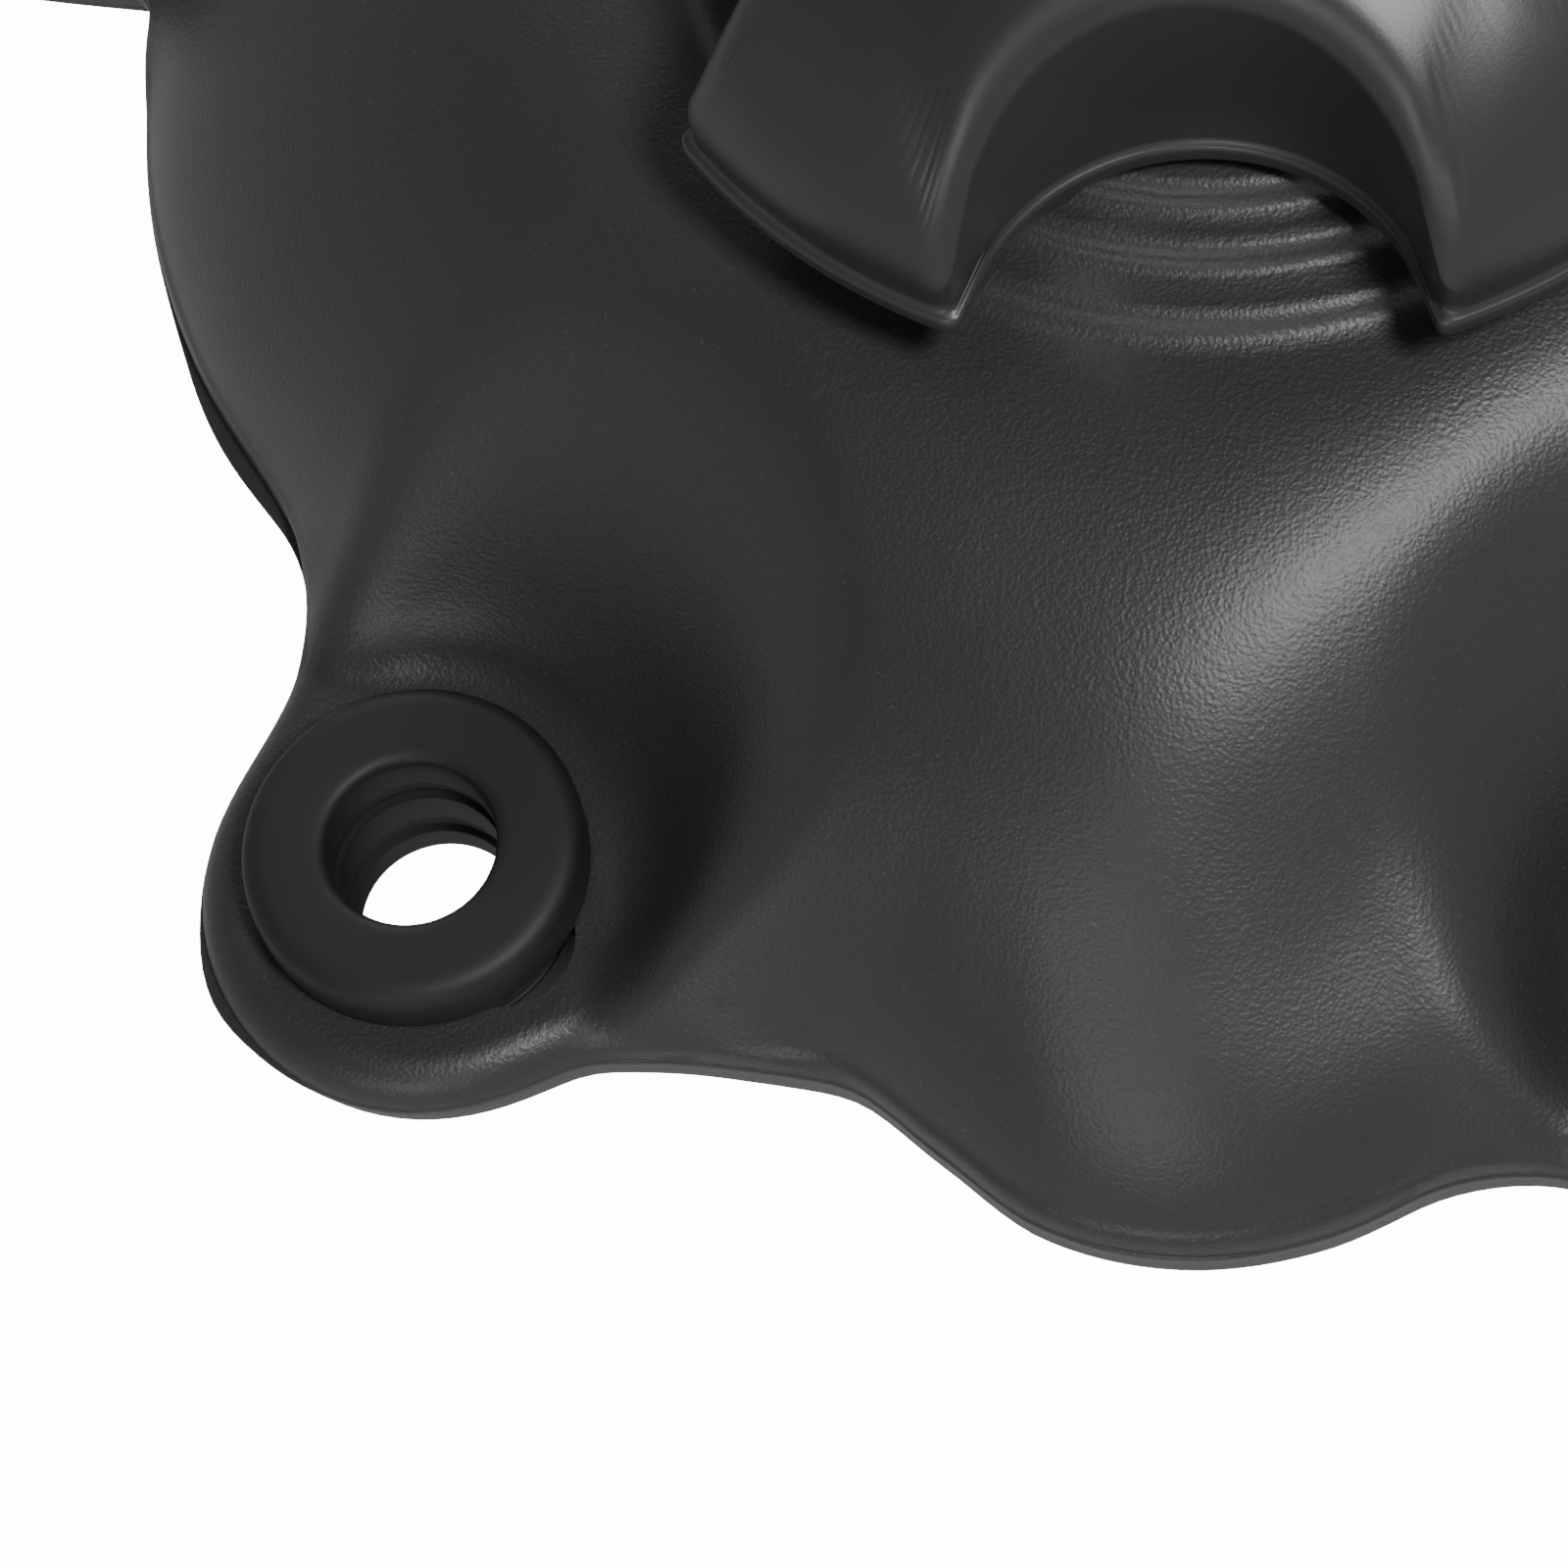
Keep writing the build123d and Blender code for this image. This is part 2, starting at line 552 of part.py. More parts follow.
def tap_mount_screws():
    """Two socket screws that hold the tap's flange to the tank."""
    screws = []
    head_top = FLANGE_FOOT - WASHER_T
    for x in (-FLANGE_SCREW_X, FLANGE_SCREW_X):
        shank = disc(SCREW_R, head_top, TAP_FACE + INSERT_L - SCREW_SHORT, x, TAP_Y)
        head = disc(SCREW_HEAD_R, head_top - SCREW_HEAD_H, head_top, x, TAP_Y)
        socket = Pos(x, TAP_Y, head_top - SCREW_HEAD_H) * extrude(
            RegularPolygon(SCREW_HEAD_R / 2, 6), amount=SCREW_HEAD_H / 2
        )
        screws.append(shank + head - socket)
    return Compound(children=screws)


def tap_screw_washers():
    """Two plain washers under the flange screws."""
    low = FLANGE_FOOT - WASHER_T
    places = (-FLANGE_SCREW_X, FLANGE_SCREW_X)
    hole_r = SCREW_R + SCREW_GAP
    return Compound(children=[ring(WASHER_R, hole_r, low, FLANGE_FOOT, x, TAP_Y) for x in places])


def tank_inserts():
    """Two brass inserts moulded into the tap's boss."""
    high = TAP_FACE + INSERT_L
    places = (-FLANGE_SCREW_X, FLANGE_SCREW_X)
    return Compound(children=[ring(INSERT_R, SCREW_R, TAP_FACE, high, x, TAP_Y) for x in places])


def tap_standpipe():
    """Brass pipe that stands in the tap's flange and draws above the reserve."""
    top = TAP_FACE + BOSS_H + STANDPIPE_TOP
    return ring(STANDPIPE_R, STANDPIPE_BORE_R, FLANGE_TOP - FLANGE_T, top, 0, TAP_Y + PORT_R)


def tap_strainer():
    """Fine sleeve round the standpipe, on a collar in the boss."""
    shoulder = TAP_FACE + BOSS_H
    top = shoulder + STRAINER_TOP
    inner = STRAINER_R - STRAINER_WALL
    sleeve = disc(COLLAR_R, FLANGE_TOP, shoulder, 0, TAP_Y) + disc(STRAINER_R, shoulder, top, 0, TAP_Y)
    return sleeve - disc(inner, FLANGE_TOP, top - STRAINER_WALL, 0, TAP_Y)


def main():
    """Build every sub-part and write one STEP file each."""
    os.makedirs("parts", exist_ok=True)
    makers = [
        tank_shell, tank_inserts, cap_shell, cap_core, cap_gasket, vent_valve, vent_baffle,
        tap_gasket, tap_body, tap_outlet, tap_valve_seal, tap_lever, tap_wave_spring,
        tap_face_plate, tap_plate_screws, tap_mount_screws, tap_screw_washers,
        tap_standpipe, tap_strainer,
    ]
    for maker in makers:
        export_step(maker(), f"parts/{maker.__name__}.step")
    for name, (x, y) in EAR_CENTRES.items():
        export_step(grommet(x, y), f"parts/grommet_{name}.step")


main()
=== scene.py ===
"""Looks of a small-engine fuel tank: stippled body skin, rubber grommets, lobed cap and fuel tap.

All objects are in metres in the part's own frame: +Z up, the flat base at z = 0 and the filler
neck's axis at x = y = 0. Sizes inside the classes are in millimetres and are scaled once, when a
vertex is placed.
"""
from __future__ import annotations

import logging
import math
from dataclasses import dataclass
from enum import Enum
from typing import Callable, Iterable

import bmesh
import bpy
from mathutils import Matrix, Vector, noise


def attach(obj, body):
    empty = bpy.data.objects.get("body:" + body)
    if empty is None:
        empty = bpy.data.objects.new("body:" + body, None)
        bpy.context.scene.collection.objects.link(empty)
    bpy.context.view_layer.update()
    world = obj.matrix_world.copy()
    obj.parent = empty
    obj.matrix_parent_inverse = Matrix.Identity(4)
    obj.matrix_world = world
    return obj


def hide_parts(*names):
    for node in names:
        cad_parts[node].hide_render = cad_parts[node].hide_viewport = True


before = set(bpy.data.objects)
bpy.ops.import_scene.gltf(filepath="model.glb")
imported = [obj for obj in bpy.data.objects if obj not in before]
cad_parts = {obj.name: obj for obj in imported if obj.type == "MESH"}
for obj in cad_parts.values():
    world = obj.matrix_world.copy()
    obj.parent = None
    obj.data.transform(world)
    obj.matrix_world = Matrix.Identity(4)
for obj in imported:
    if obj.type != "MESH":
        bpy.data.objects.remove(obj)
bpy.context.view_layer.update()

MM = 0.001
SEAM_Z = 45.0
TAU = 2.0 * math.pi
LOG = logging.getLogger("fuel_tank")

Loop = list[Vector]


class Body(Enum):
    """Rigid bodies that the pieces ride on."""

    TANK = "tank"
    LIFTER = "cap_lifter"
    CAP = "cap"
    LEVER = "lever"


class Metal(Enum):
    """Colours of the tap's metals, linear."""

    BRASS = (0.55, 0.36, 0.13)
    ZINC_CASTING = (0.40, 0.40, 0.41)
    PLATED_STEEL = (0.52, 0.52, 0.53)
    SPRING_STEEL = (0.42, 0.42, 0.44)


def smooth_min(first: float, second: float, width: float) -> float:
    """Smooth minimum of two distances.

    Args:
        first: One distance.
        second: The other distance.
        width: How far apart they still blend.

    Returns:
        The blended smaller value.
    """
    share = max(0.0, min(1.0, 0.5 + 0.5 * (second - first) / width))
    return second + (first - second) * share - width * share * (1.0 - share)


def smooth_max(first: float, second: float, width: float) -> float:
    """Smooth maximum, the mirror of smooth_min."""
    return -smooth_min(-first, -second, width)


def smooth_step(low: float, high: float, value: float) -> float:
    """Soft ramp from 0 at low to 1 at high."""
    share = max(0.0, min(1.0, (value - low) / (high - low)))
    return share * share * (3.0 - 2.0 * share)


def round_over(depth: float, radius: float) -> float:
    """Height share of a rounded edge at a distance inside it."""
    share = max(0.0, min(1.0, depth / radius))
    return math.sqrt(1.0 - (1.0 - share) ** 2)


def capsule(x: float, y: float, start: tuple[float, float], end: tuple[float, float],
            start_r: float, end_r: float) -> float:
    """Signed distance to a capsule whose radius changes along it.

    Args:
        x: Place across.
        y: Place along.
        start: First centre.
        end: Last centre.
        start_r: Radius at the first centre.
        end_r: Radius at the last centre.

    Returns:
        The distance, negative inside.
    """
    run_x = end[0] - start[0]
    run_y = end[1] - start[1]
    share = ((x - start[0]) * run_x + (y - start[1]) * run_y) / (run_x ** 2 + run_y ** 2)
    share = max(0.0, min(1.0, share))
    gap = math.hypot(x - start[0] - share * run_x, y - start[1] - share * run_y)
    return gap - (start_r + (end_r - start_r) * share)


def ray_crossing(field: Callable[[float, float], float], angle: float, level: float,
                 far: float) -> float:
    """Distance along a ray from the axis at which a field reaches a level.

    Args:
        field: Signed distance as a function of x and y.
        angle: Direction of the ray.
        level: Value to reach.
        far: A distance that lies outside.

    Returns:
        The distance from the axis.
    """
    near = 0.0
    across = math.cos(angle)
    along = math.sin(angle)
    for _ in range(30):
        middle = 0.5 * (near + far)
        if field(middle * across, middle * along) > level:
            far = middle
        else:
            near = middle
    return near


def even_angles(radius_at: Callable[[float], float], count: int, start: float) -> list[float]:
    """Angles that divide an outline into nearly equal lengths.

    Args:
        radius_at: Outline radius as a function of angle.
        count: Number of angles.
        start: First angle.

    Returns:
        The angles, rising from start through a full turn.
    """
    samples = 3600
    turns = [start + TAU * step / samples for step in range(samples + 1)]
    points = [(radius_at(turn) * math.cos(turn), radius_at(turn) * math.sin(turn)) for turn in turns]
    reach = [0.0]
    for before, after in zip(points, points[1:]):
        reach.append(reach[-1] + math.hypot(after[0] - before[0], after[1] - before[1]))
    angles = []
    index = 0
    for step in range(count):
        target = reach[-1] * step / count
        while reach[index + 1] < target:
            index += 1
        share = (target - reach[index]) / max(1e-9, reach[index + 1] - reach[index])
        angles.append(turns[index] + share * (turns[index + 1] - turns[index]))
    return angles


class LoopSkin:
    """A skin grown loop by loop from one circle, by extruding its open edge."""

    def __init__(self, count: int) -> None:
        """Start a skin with this many points in each loop."""
        self.count = count
        self.mesh = bmesh.new()
        self.spoke = self.mesh.verts.layers.int.new("spoke")
        self.edge: list[bmesh.types.BMEdge] = []

    def first(self, loop: Loop, filled: bool) -> None:
        """Place the first loop.

        Args:
            loop: Points in millimetres.
            filled: Whether a face closes it.
        """
        made = bmesh.ops.create_circle(self.mesh, cap_ends=filled, segments=self.count, radius=1.0)
        ordered = sorted(made["verts"], key=lambda vert: math.atan2(vert.co.y, vert.co.x) % TAU)
        for index, vert in enumerate(ordered):
            vert[self.spoke] = index
            vert.co = loop[index] * MM
        self.edge = [edge for edge in self.mesh.edges]

    def grow(self, loop: Loop) -> None:
        """Extrude the open edge to the next loop of points in millimetres."""
        made = bmesh.ops.extrude_edge_only(self.mesh, edges=self.edge)
        new = made["geom"]
        for item in new:
            if isinstance(item, bmesh.types.BMVert):
                item.co = loop[item[self.spoke]] * MM
        fresh = {item for item in new if isinstance(item, bmesh.types.BMVert)}
        self.edge = [
            item for item in new
            if isinstance(item, bmesh.types.BMEdge) and all(vert in fresh for vert in item.verts)
        ]

    def close(self) -> None:
        """Close the open edge with one face."""
        bmesh.ops.contextual_create(self.mesh, geom=self.edge)

    def finish(self, name: str, merge: float = 1e-6) -> bpy.types.Object:
        """Turn the skin into an object.

        Args:
            name: Name of the object.
            merge: Distance under which points are one, in metres.

        Returns:
            The new object.
        """
        bmesh.ops.remove_doubles(self.mesh, verts=self.mesh.verts[:], dist=merge)
        bmesh.ops.recalc_face_normals(self.mesh, faces=self.mesh.faces[:])
        return object_from(self.mesh, name)


def object_from(mesh: bmesh.types.BMesh, name: str, sharp: float = 40.0) -> bpy.types.Object:
    """Link a bmesh as a smooth-shaded object at the origin.

    Args:
        mesh: Finished geometry, which is freed.
        name: Name of the object and its mesh.
        sharp: Edges above this angle in degrees stay crisp.

    Returns:
        The new object.
    """
    data = bpy.data.meshes.new(name)
    mesh.to_mesh(data)
    mesh.free()
    for polygon in data.polygons:
        polygon.use_smooth = True
    data.set_sharp_from_angle(angle=math.radians(sharp))
    piece = bpy.data.objects.new(name, data)
    bpy.context.scene.collection.objects.link(piece)
    return piece


def lathe(profile: Iterable[tuple[float, float]], steps: int, name: str,
          centre: tuple[float, float] = (0.0, 0.0)) -> bpy.types.Object:
    """Spin a closed profile about an upright axis.

    Args:
        profile: Points as radius and height in millimetres.
        steps: Number of steps in the turn.
        name: Name of the object.
        centre: Place of the axis.

    Returns:
        The turned piece.
    """
    mesh = bmesh.new()
    verts = [mesh.verts.new((radius * MM, 0.0, height * MM)) for radius, height in profile]
    edges = [mesh.edges.new((verts[index - 1], verts[index])) for index in range(len(verts))]
    bmesh.ops.spin(mesh, geom=verts + edges, cent=(0, 0, 0), axis=(0, 0, 1), angle=TAU,
                   steps=steps, use_merge=True)
    bmesh.ops.remove_doubles(mesh, verts=mesh.verts[:], dist=1e-7)
    bmesh.ops.recalc_face_normals(mesh, faces=mesh.faces[:])
    bmesh.ops.translate(mesh, verts=mesh.verts[:], vec=(centre[0] * MM, centre[1] * MM, 0.0))
    return object_from(mesh, name)


def rounded(corners: list[tuple[float, float, float]], steps: int = 5) -> list[tuple[float, float]]:
    """Closed profile with each corner rounded.

    Args:
        corners: Radius, height and rounding of each corner, in order.
        steps: Number of chords in each rounding.

    Returns:
        The profile's points.
    """
    points: list[tuple[float, float]] = []
    for index, (radius, height, rounding) in enumerate(corners):
        here = Vector((radius, height))
        if rounding <= 0.0:
            points.append((radius, height))
            continue
        before = Vector(corners[index - 1][:2])
        after = Vector(corners[(index + 1) % len(corners)][:2])
        inward = (before - here).normalized()
        outward = (after - here).normalized()
        half = 0.5 * inward.angle(outward)
        reach = rounding / math.tan(half)
        start = here + inward * reach
        end = here + outward * reach
        for step in range(steps + 1):
            share = step / steps
            bend = start.lerp(here, share).lerp(here.lerp(end, share), share)
            points.append((bend.x, bend.y))
    return points


def cut(piece: bpy.types.Object, cutter: bpy.types.Object) -> None:
    """Take a cutter's volume out of a piece and remove the cutter.

    Args:
        piece: Object to cut.
        cutter: Closed object whose volume goes.
    """
    step = piece.modifiers.new("cut", "BOOLEAN")
    step.operation = "DIFFERENCE"
    step.solver = "EXACT"
    step.object = cutter
    bpy.context.view_layer.update()
    graph = bpy.context.evaluated_depsgraph_get()
    data = bpy.data.meshes.new_from_object(piece.evaluated_get(graph))
    piece.modifiers.remove(step)
    old = piece.data
    name = old.name
    piece.data = data
    bpy.data.meshes.remove(old)
    data.name = name
    bpy.data.objects.remove(cutter)
    data.set_sharp_from_angle(angle=math.radians(40.0))


@dataclass(frozen=True)
class Ear:
    """One mounting ear: its hole's centre and which way the slot runs."""

    name: str
    x: float
    y: float

    @property
    def slot_turn(self) -> float:
        """Angle of the slot: across the line from the neck, towards the nose."""
        side = 1.0 if self.x < 0 else -1.0
        return math.atan2(self.y, self.x) + side * math.pi / 2.0


EARS = (
    Ear("front_left", -39.9, -58.5),
    Ear("front_right", 39.9, -58.5),
    Ear("side_left", -80.0, 12.0),
    Ear("side_right", 80.0, 12.0),
)


@dataclass
class TankSkin:
    """The moulded body: a domed top with a nose ridge, four ears and a drafted lower half."""

    spokes: int = 540
    top_rings: int = 66
    ear_r: float = 12.7
    ear_half: float = 2.5
    pad_r: float = 11.2
    bowl_slope: float = 1.7
    bowl_foot: float = 3.0
    bowl_blend: float = 6.0
    ear_blend: float = 7.0
    valley_deep: float = 6.6
    valley_half: float = 9.5
    valley_out: float = 14.0
    valley_foot: tuple[float, float] = (17.5, -60.0)
    valley_head: tuple[float, float] = (27.5, -39.0)
    valley_fade: float = 26.0
    ridge_high: float = 0.5
    ridge_half: float = 9.0
    ridge_foot: tuple[float, float] = (4.0, -50.0)
    ridge_head: tuple[float, float] = (13.0, -32.0)
    dome_h: float = 26.2
    deck_h: float = 23.0
    bulge: float = 0.72
    bore_r: float = 14.5
    bore_low: float = 12.0
    neck_r: float = 17.3
    neck_foot_r: float = 33.2
    base_depth: float = 45.0
    base_round: float = 10.0
    step_y: float = 47.0
    step_z: float = 30.0
    draft: float = 0.05
    chin_lean: float = 0.52
    hole_r: float = 7.7
    slot_half: float = 4.2
    slot_travel: float = 6.8
    flash: float = 0.22
    calm_arc: int = 26
    calm_from: float = 13.0

    def outline_stations(self) -> list[tuple[float, float]]:
        """Angle from the nose in degrees, towards +X, and radius of the body's seam there."""
        rear = (-180.0, 83.4)
        nose = [
            (-17.0, 69.6), (-11.0, 69.3), (-6.0, 71.8), (-1.0, 74.9), (5.0, 76.0), (11.0, 75.0), (17.0, 72.4),
        ]
        flank = [
            (25.0, 70.0), (35.0, 66.5), (45.0, 64.0), (56.0, 64.2), (66.0, 66.2), (76.0, 67.6), (88.0, 68.0),
            (100.0, 69.2), (113.0, 72.4), (127.0, 79.5), (139.0, 87.0), (150.0, 89.0), (162.0, 86.0),
        ]
        mirror = [(-turn, radius) for turn, radius in reversed(flank)]
        return [rear] + mirror + nose + flank

    def body_radius(self, angle: float) -> float:
        """Radius of the body's seam at an angle measured from +X, on a smooth closed curve.

        Args:
            angle: Direction in radians.

        Returns:
            The radius in millimetres.
        """
        turn = (math.degrees(angle) + 90.0 + 180.0) % 360.0 - 180.0
        stations = self.outline_stations()
        count = len(stations)
        index = sum(1 for station in stations if station[0] <= turn) - 1
        run = []
        for step in (-1, 0, 1, 2):
            place = index + step
            lap = 360.0 * (place // count)
            run.append((stations[place % count][0] + lap, stations[place % count][1]))
        p0, p1, p2, p3 = run
        span = p2[0] - p1[0]
        share = (turn - p1[0]) / span
        slope1 = (p2[1] - p0[1]) / (p2[0] - p0[0]) * span
        slope2 = (p3[1] - p1[1]) / (p3[0] - p1[0]) * span
        square = share * share
        cube = square * share
        return (
            (2 * cube - 3 * square + 1) * p1[1] + (cube - 2 * square + share) * slope1
            + (3 * square - 2 * cube) * p2[1] + (cube - square) * slope2
        )

    def __post_init__(self) -> None:
        """Average the seam's radius over a wide arc: the dome follows this calmer curve."""
        arc = self.calm_arc
        weights = {step: 1.0 - abs(step) / arc for step in range(-arc, arc + 1)}
        self.calm = [
            sum(self.body_radius(math.radians(turn + step)) * part for step, part in weights.items()) / arc
            for turn in range(360)
        ]

    def dome_depth(self, x: float, y: float) -> float:
        """Distance inside the seam near the rim, and inside the calmer curve further in."""
        inside = self.body_depth(x, y)
        turn = math.degrees(math.atan2(y, x)) % 360.0
        low = int(turn) % 360
        calm = self.calm[low] + (self.calm[(low + 1) % 360] - self.calm[low]) * (turn - int(turn))
        calm_depth = calm - math.hypot(x, y)
        return inside + (calm_depth - inside) * smooth_step(0.0, self.calm_from, inside)

    def body_depth(self, x: float, y: float) -> float:
        """Distance inside the body's seam, positive inside."""
        angle = math.atan2(y, x)
        radius = self.body_radius(angle)
        tiny = 0.02
        slope = (self.body_radius(angle + tiny) - self.body_radius(angle - tiny)) / (2 * tiny)
        return (radius - math.hypot(x, y)) / math.sqrt(1.0 + (slope / radius) ** 2)

    def outline(self, x: float, y: float) -> float:
        """Signed distance to the whole seam, with the ears, negative inside."""
        result = -self.body_depth(x, y)
        for ear in EARS:
            side = 1.0 if ear.x > 0 else -1.0
            if ear.y < 0:
                lobe = math.hypot(x - ear.x + side * 0.3, y - ear.y + 1.3) - self.ear_r
                root = capsule(x, y, (ear.x, ear.y), (side * 37.0, -43.0), 12.0, 12.4)
                web = capsule(x, y, (ear.x, ear.y), (side * 20.0, -55.5), 12.4, 10.2)
                root = smooth_min(root, web, 3.0)
            else:
                lobe = math.hypot(x - ear.x, y - ear.y) - self.ear_r
                root = capsule(x, y, (ear.x, ear.y), (side * 62.0, ear.y), 11.0, 13.0)
            result = smooth_min(result, smooth_min(lobe, root, 2.0), 5.0)
        return result

    def ear_gap(self, x: float, y: float) -> float:
        """Distance to the edge of the nearest ear's flat pad, negative on the pad."""
        return min(math.hypot(x - ear.x, y - ear.y) for ear in EARS) - self.pad_r

    def bowl(self, gap: float) -> float:
        """Height of the dished wall that rises round an ear's pad, above the pad."""
        inside = max(0.0, gap)
        turn_in = self.bowl_slope * self.bowl_foot
        if inside < turn_in:
            return inside ** 2 / (2.0 * self.bowl_foot)
        return self.bowl_slope * (inside - turn_in / 2.0)

    def valley(self, x: float, y: float) -> float:
        """Height taken out by the soft valley on the right of the nose, less the ridge beside it."""
        foot = self.valley_foot
        head = self.valley_head
        run = math.hypot(head[0] - foot[0], head[1] - foot[1])
        outside = ((x - foot[0]) * (head[1] - foot[1]) - (y - foot[1]) * (head[0] - foot[0])) / run
        wide = self.valley_half + (self.valley_out - self.valley_half) * smooth_step(-7.0, 9.0, outside)
        valley = capsule(x, y, foot, head, 0.0, 0.0) / wide
        ridge = capsule(x, y, self.ridge_foot, self.ridge_head, 0.0, 0.0) / self.ridge_half
        return self.valley_deep * math.exp(-valley ** 2) - self.ridge_high * math.exp(-ridge ** 2)

    def top_height(self, x: float, y: float) -> float:
        """Height of the top skin above the seam."""
        rim = max(0.0, -self.outline(x, y))
        gap = self.ear_gap(x, y)
        near = 1.0 - smooth_step(4.0, 16.0, gap)
        dome = self.dome_depth(x, y)
        depth = 0.5 * (dome + math.sqrt(dome ** 2 + (self.ear_blend * near) ** 2))
        neck = math.hypot(x, y) - self.neck_foot_r
        deck = capsule(x, y, (0.0, 22.0), (0.0, 50.0), 34.0, 27.0)
        away = max(0.0, smooth_min(neck, deck, 10.0) + 2.0)
        share = depth / (depth + away) if depth > 0 else 0.0
        high = self.dome_h + (self.deck_h - self.dome_h) * smooth_step(30.0, 56.0, y)
        body = high * (1.0 - (1.0 - share) ** 2.1) ** self.bulge
        body -= self.valley(x, y) * body / high * smooth_step(0.0, self.valley_fade, neck)
        body *= 1.0 - near * (1.0 - round_over(rim, self.ear_blend))
        pad = self.ear_half * round_over(rim, self.ear_half)
        above = max(0.0, body - pad * smooth_step(0.0, self.ear_half, body))
        return pad + max(0.0, smooth_min(above, self.bowl(gap), self.bowl_blend))

    def lean(self, angle: float) -> float:
        """Inward lean of the lower wall for each unit of depth: a slight draft, more at the chin."""
        turn = abs((math.degrees(angle) + 90.0 + 180.0) % 360.0 - 180.0)
        return self.draft + (self.chin_lean - self.draft) * (1.0 - smooth_step(14.0, 40.0, turn))

    def fin(self, angle: float) -> float:
        """How far the parting line's flash stands out, with two places where it was left thick."""
        turn = (math.degrees(angle) + 90.0 + 180.0) % 360.0 - 180.0
        torn = noise.noise((math.cos(angle) * 9.0, math.sin(angle) * 9.0, 3.1))
        ragged = self.flash * (0.5 + max(0.0, torn))
        flank = 0.95 * math.exp(-((turn + 60.0) / 6.5) ** 2)
        lobe = 0.6 * math.exp(-((turn + 37.5) / 2.6) ** 2)
        return ragged + flank + lobe

    def neck_profile(self) -> list[tuple[float, float]]:
        """Radius and height above the seam, from the bore over the rim and down the rings."""
        return [
            (14.5, 42.3), (14.7, 42.8), (15.2, 43.0), (16.6, 43.0), (17.1, 42.8), (17.3, 42.2),
            (17.3, 31.2), (17.6, 30.5), (18.4, 30.2), (21.0, 30.2), (24.0, 30.2), (24.6, 30.05),
            (24.95, 29.6), (25.1, 29.2), (25.6, 28.85), (26.6, 28.8), (27.3, 28.75), (27.8, 28.5),
            (28.05, 28.05), (28.3, 27.65), (28.9, 27.42), (30.4, 27.4), (31.0, 27.3), (31.45, 26.95),
            (31.75, 26.6), (32.3, 26.3), (33.2, 26.2),
        ]

    def build(self) -> bpy.types.Object:
        """Grow the skin from the neck's bore over the seam and down to the base.

        Returns:
            The body as a closed object.
        """
        angles = even_angles(lambda turn: ray_crossing(self.outline, turn, 0.0, 130.0), self.spokes, 0.0)
        rims = [ray_crossing(self.outline, turn, 0.0, 130.0) for turn in angles]
        walls = [min(rim - 1.2, self.body_radius(turn) - 1.2) for rim, turn in zip(rims, angles)]

        def circle(radius: float, height: float) -> Loop:
            """Round loop at a height above the seam."""
            return [
                Vector((radius * math.cos(turn), radius * math.sin(turn), SEAM_Z + height))
                for turn in angles
            ]

        def loop(radii: list[float], heights: list[float]) -> Loop:
            """Loop with its own radius and height on each spoke."""
            return [
                Vector((radius * math.cos(turn), radius * math.sin(turn), SEAM_Z + height))
                for radius, height, turn in zip(radii, heights, angles)
            ]

        skin = LoopSkin(self.spokes)
        skin.first(circle(self.bore_r, self.bore_low), True)
        for radius, height in self.neck_profile():
            skin.grow(circle(radius, height))
        for ring in range(1, self.top_rings + 1):
            share = 1.0 - (1.0 - ring / (self.top_rings + 1.0)) ** 1.7
            radii = [self.neck_foot_r + (rim - self.neck_foot_r) * share for rim in rims]
            heights = [
                self.top_height(radius * math.cos(turn), radius * math.sin(turn))
                for radius, turn in zip(radii, angles)
            ]
            skin.grow(loop(radii, heights))
        fins = [self.fin(turn) for turn in angles]
        for out, height in ((0.0, 0.22), (0.85, 0.12), (1.0, 0.0), (0.9, -0.3), (0.0, -0.8)):
            skin.grow(loop([rim + out * fin for rim, fin in zip(rims, fins)], [height] * self.spokes))
        for step in range(1, 9):
            share = step / 8.0
            height = -self.ear_half * round_over(share * 2.6, 1.3 * 2)
            skin.grow(loop(
                [rim + (wall - rim) * (1 - math.cos(share * math.pi / 2)) for rim, wall in zip(rims, walls)],
                [height - 0.8] * self.spokes,
            ))
        leans = [self.lean(turn) for turn in angles]
        for depth in (4.0, 6.0, 10.0, 15.0, 20.0, 25.0, 30.0, 35.0):
            radii = [wall - depth * lean for wall, lean in zip(walls, leans)]
            skin.grow(loop(radii, [-depth] * self.spokes))
        for step in range(1, 9):
            turn = step * math.pi / 16.0
            inset = self.base_round * (1.0 - math.cos(turn))
            drop = self.base_depth - self.base_round * (1.0 - math.sin(turn))
            radii = [wall - inset - drop * lean for wall, lean in zip(walls, leans)]
            skin.grow(loop(radii, [-drop] * self.spokes))
        feet = [wall - self.base_round - self.base_depth * lean for wall, lean in zip(walls, leans)]
        for share in (0.8, 0.55, 0.3, 0.1):
            skin.grow(loop([foot * share for foot in feet], [-self.base_depth] * self.spokes))
        skin.close()
        body = skin.finish("tank_skin")
        cut(body, self.cutter())
        return body

    def cutter(self) -> bpy.types.Object:
        """Volume of the rear notch under the overhang and of the four ear slots."""
        mesh = bmesh.new()
        notch = bmesh.ops.create_cube(mesh, size=1.0)["verts"]
        size = Vector((260.0, 120.0, self.step_z + 20.0)) * MM
        middle = Vector((0.0, self.step_y + 60.0, (self.step_z - 20.0) / 2.0)) * MM
        bmesh.ops.scale(mesh, verts=notch, vec=size)
        bmesh.ops.translate(mesh, verts=notch, vec=middle)
        bmesh.ops.bevel(
            mesh, geom=[edge for edge in mesh.edges if all(vert.co.y < 0.06 for vert in edge.verts)],
            offset=4.0 * MM, segments=5, profile=0.5, affect="EDGES", material=-1,
        )
        for ear in EARS:
            self.add_slot(mesh, ear)
        return object_from(mesh, "cutter")

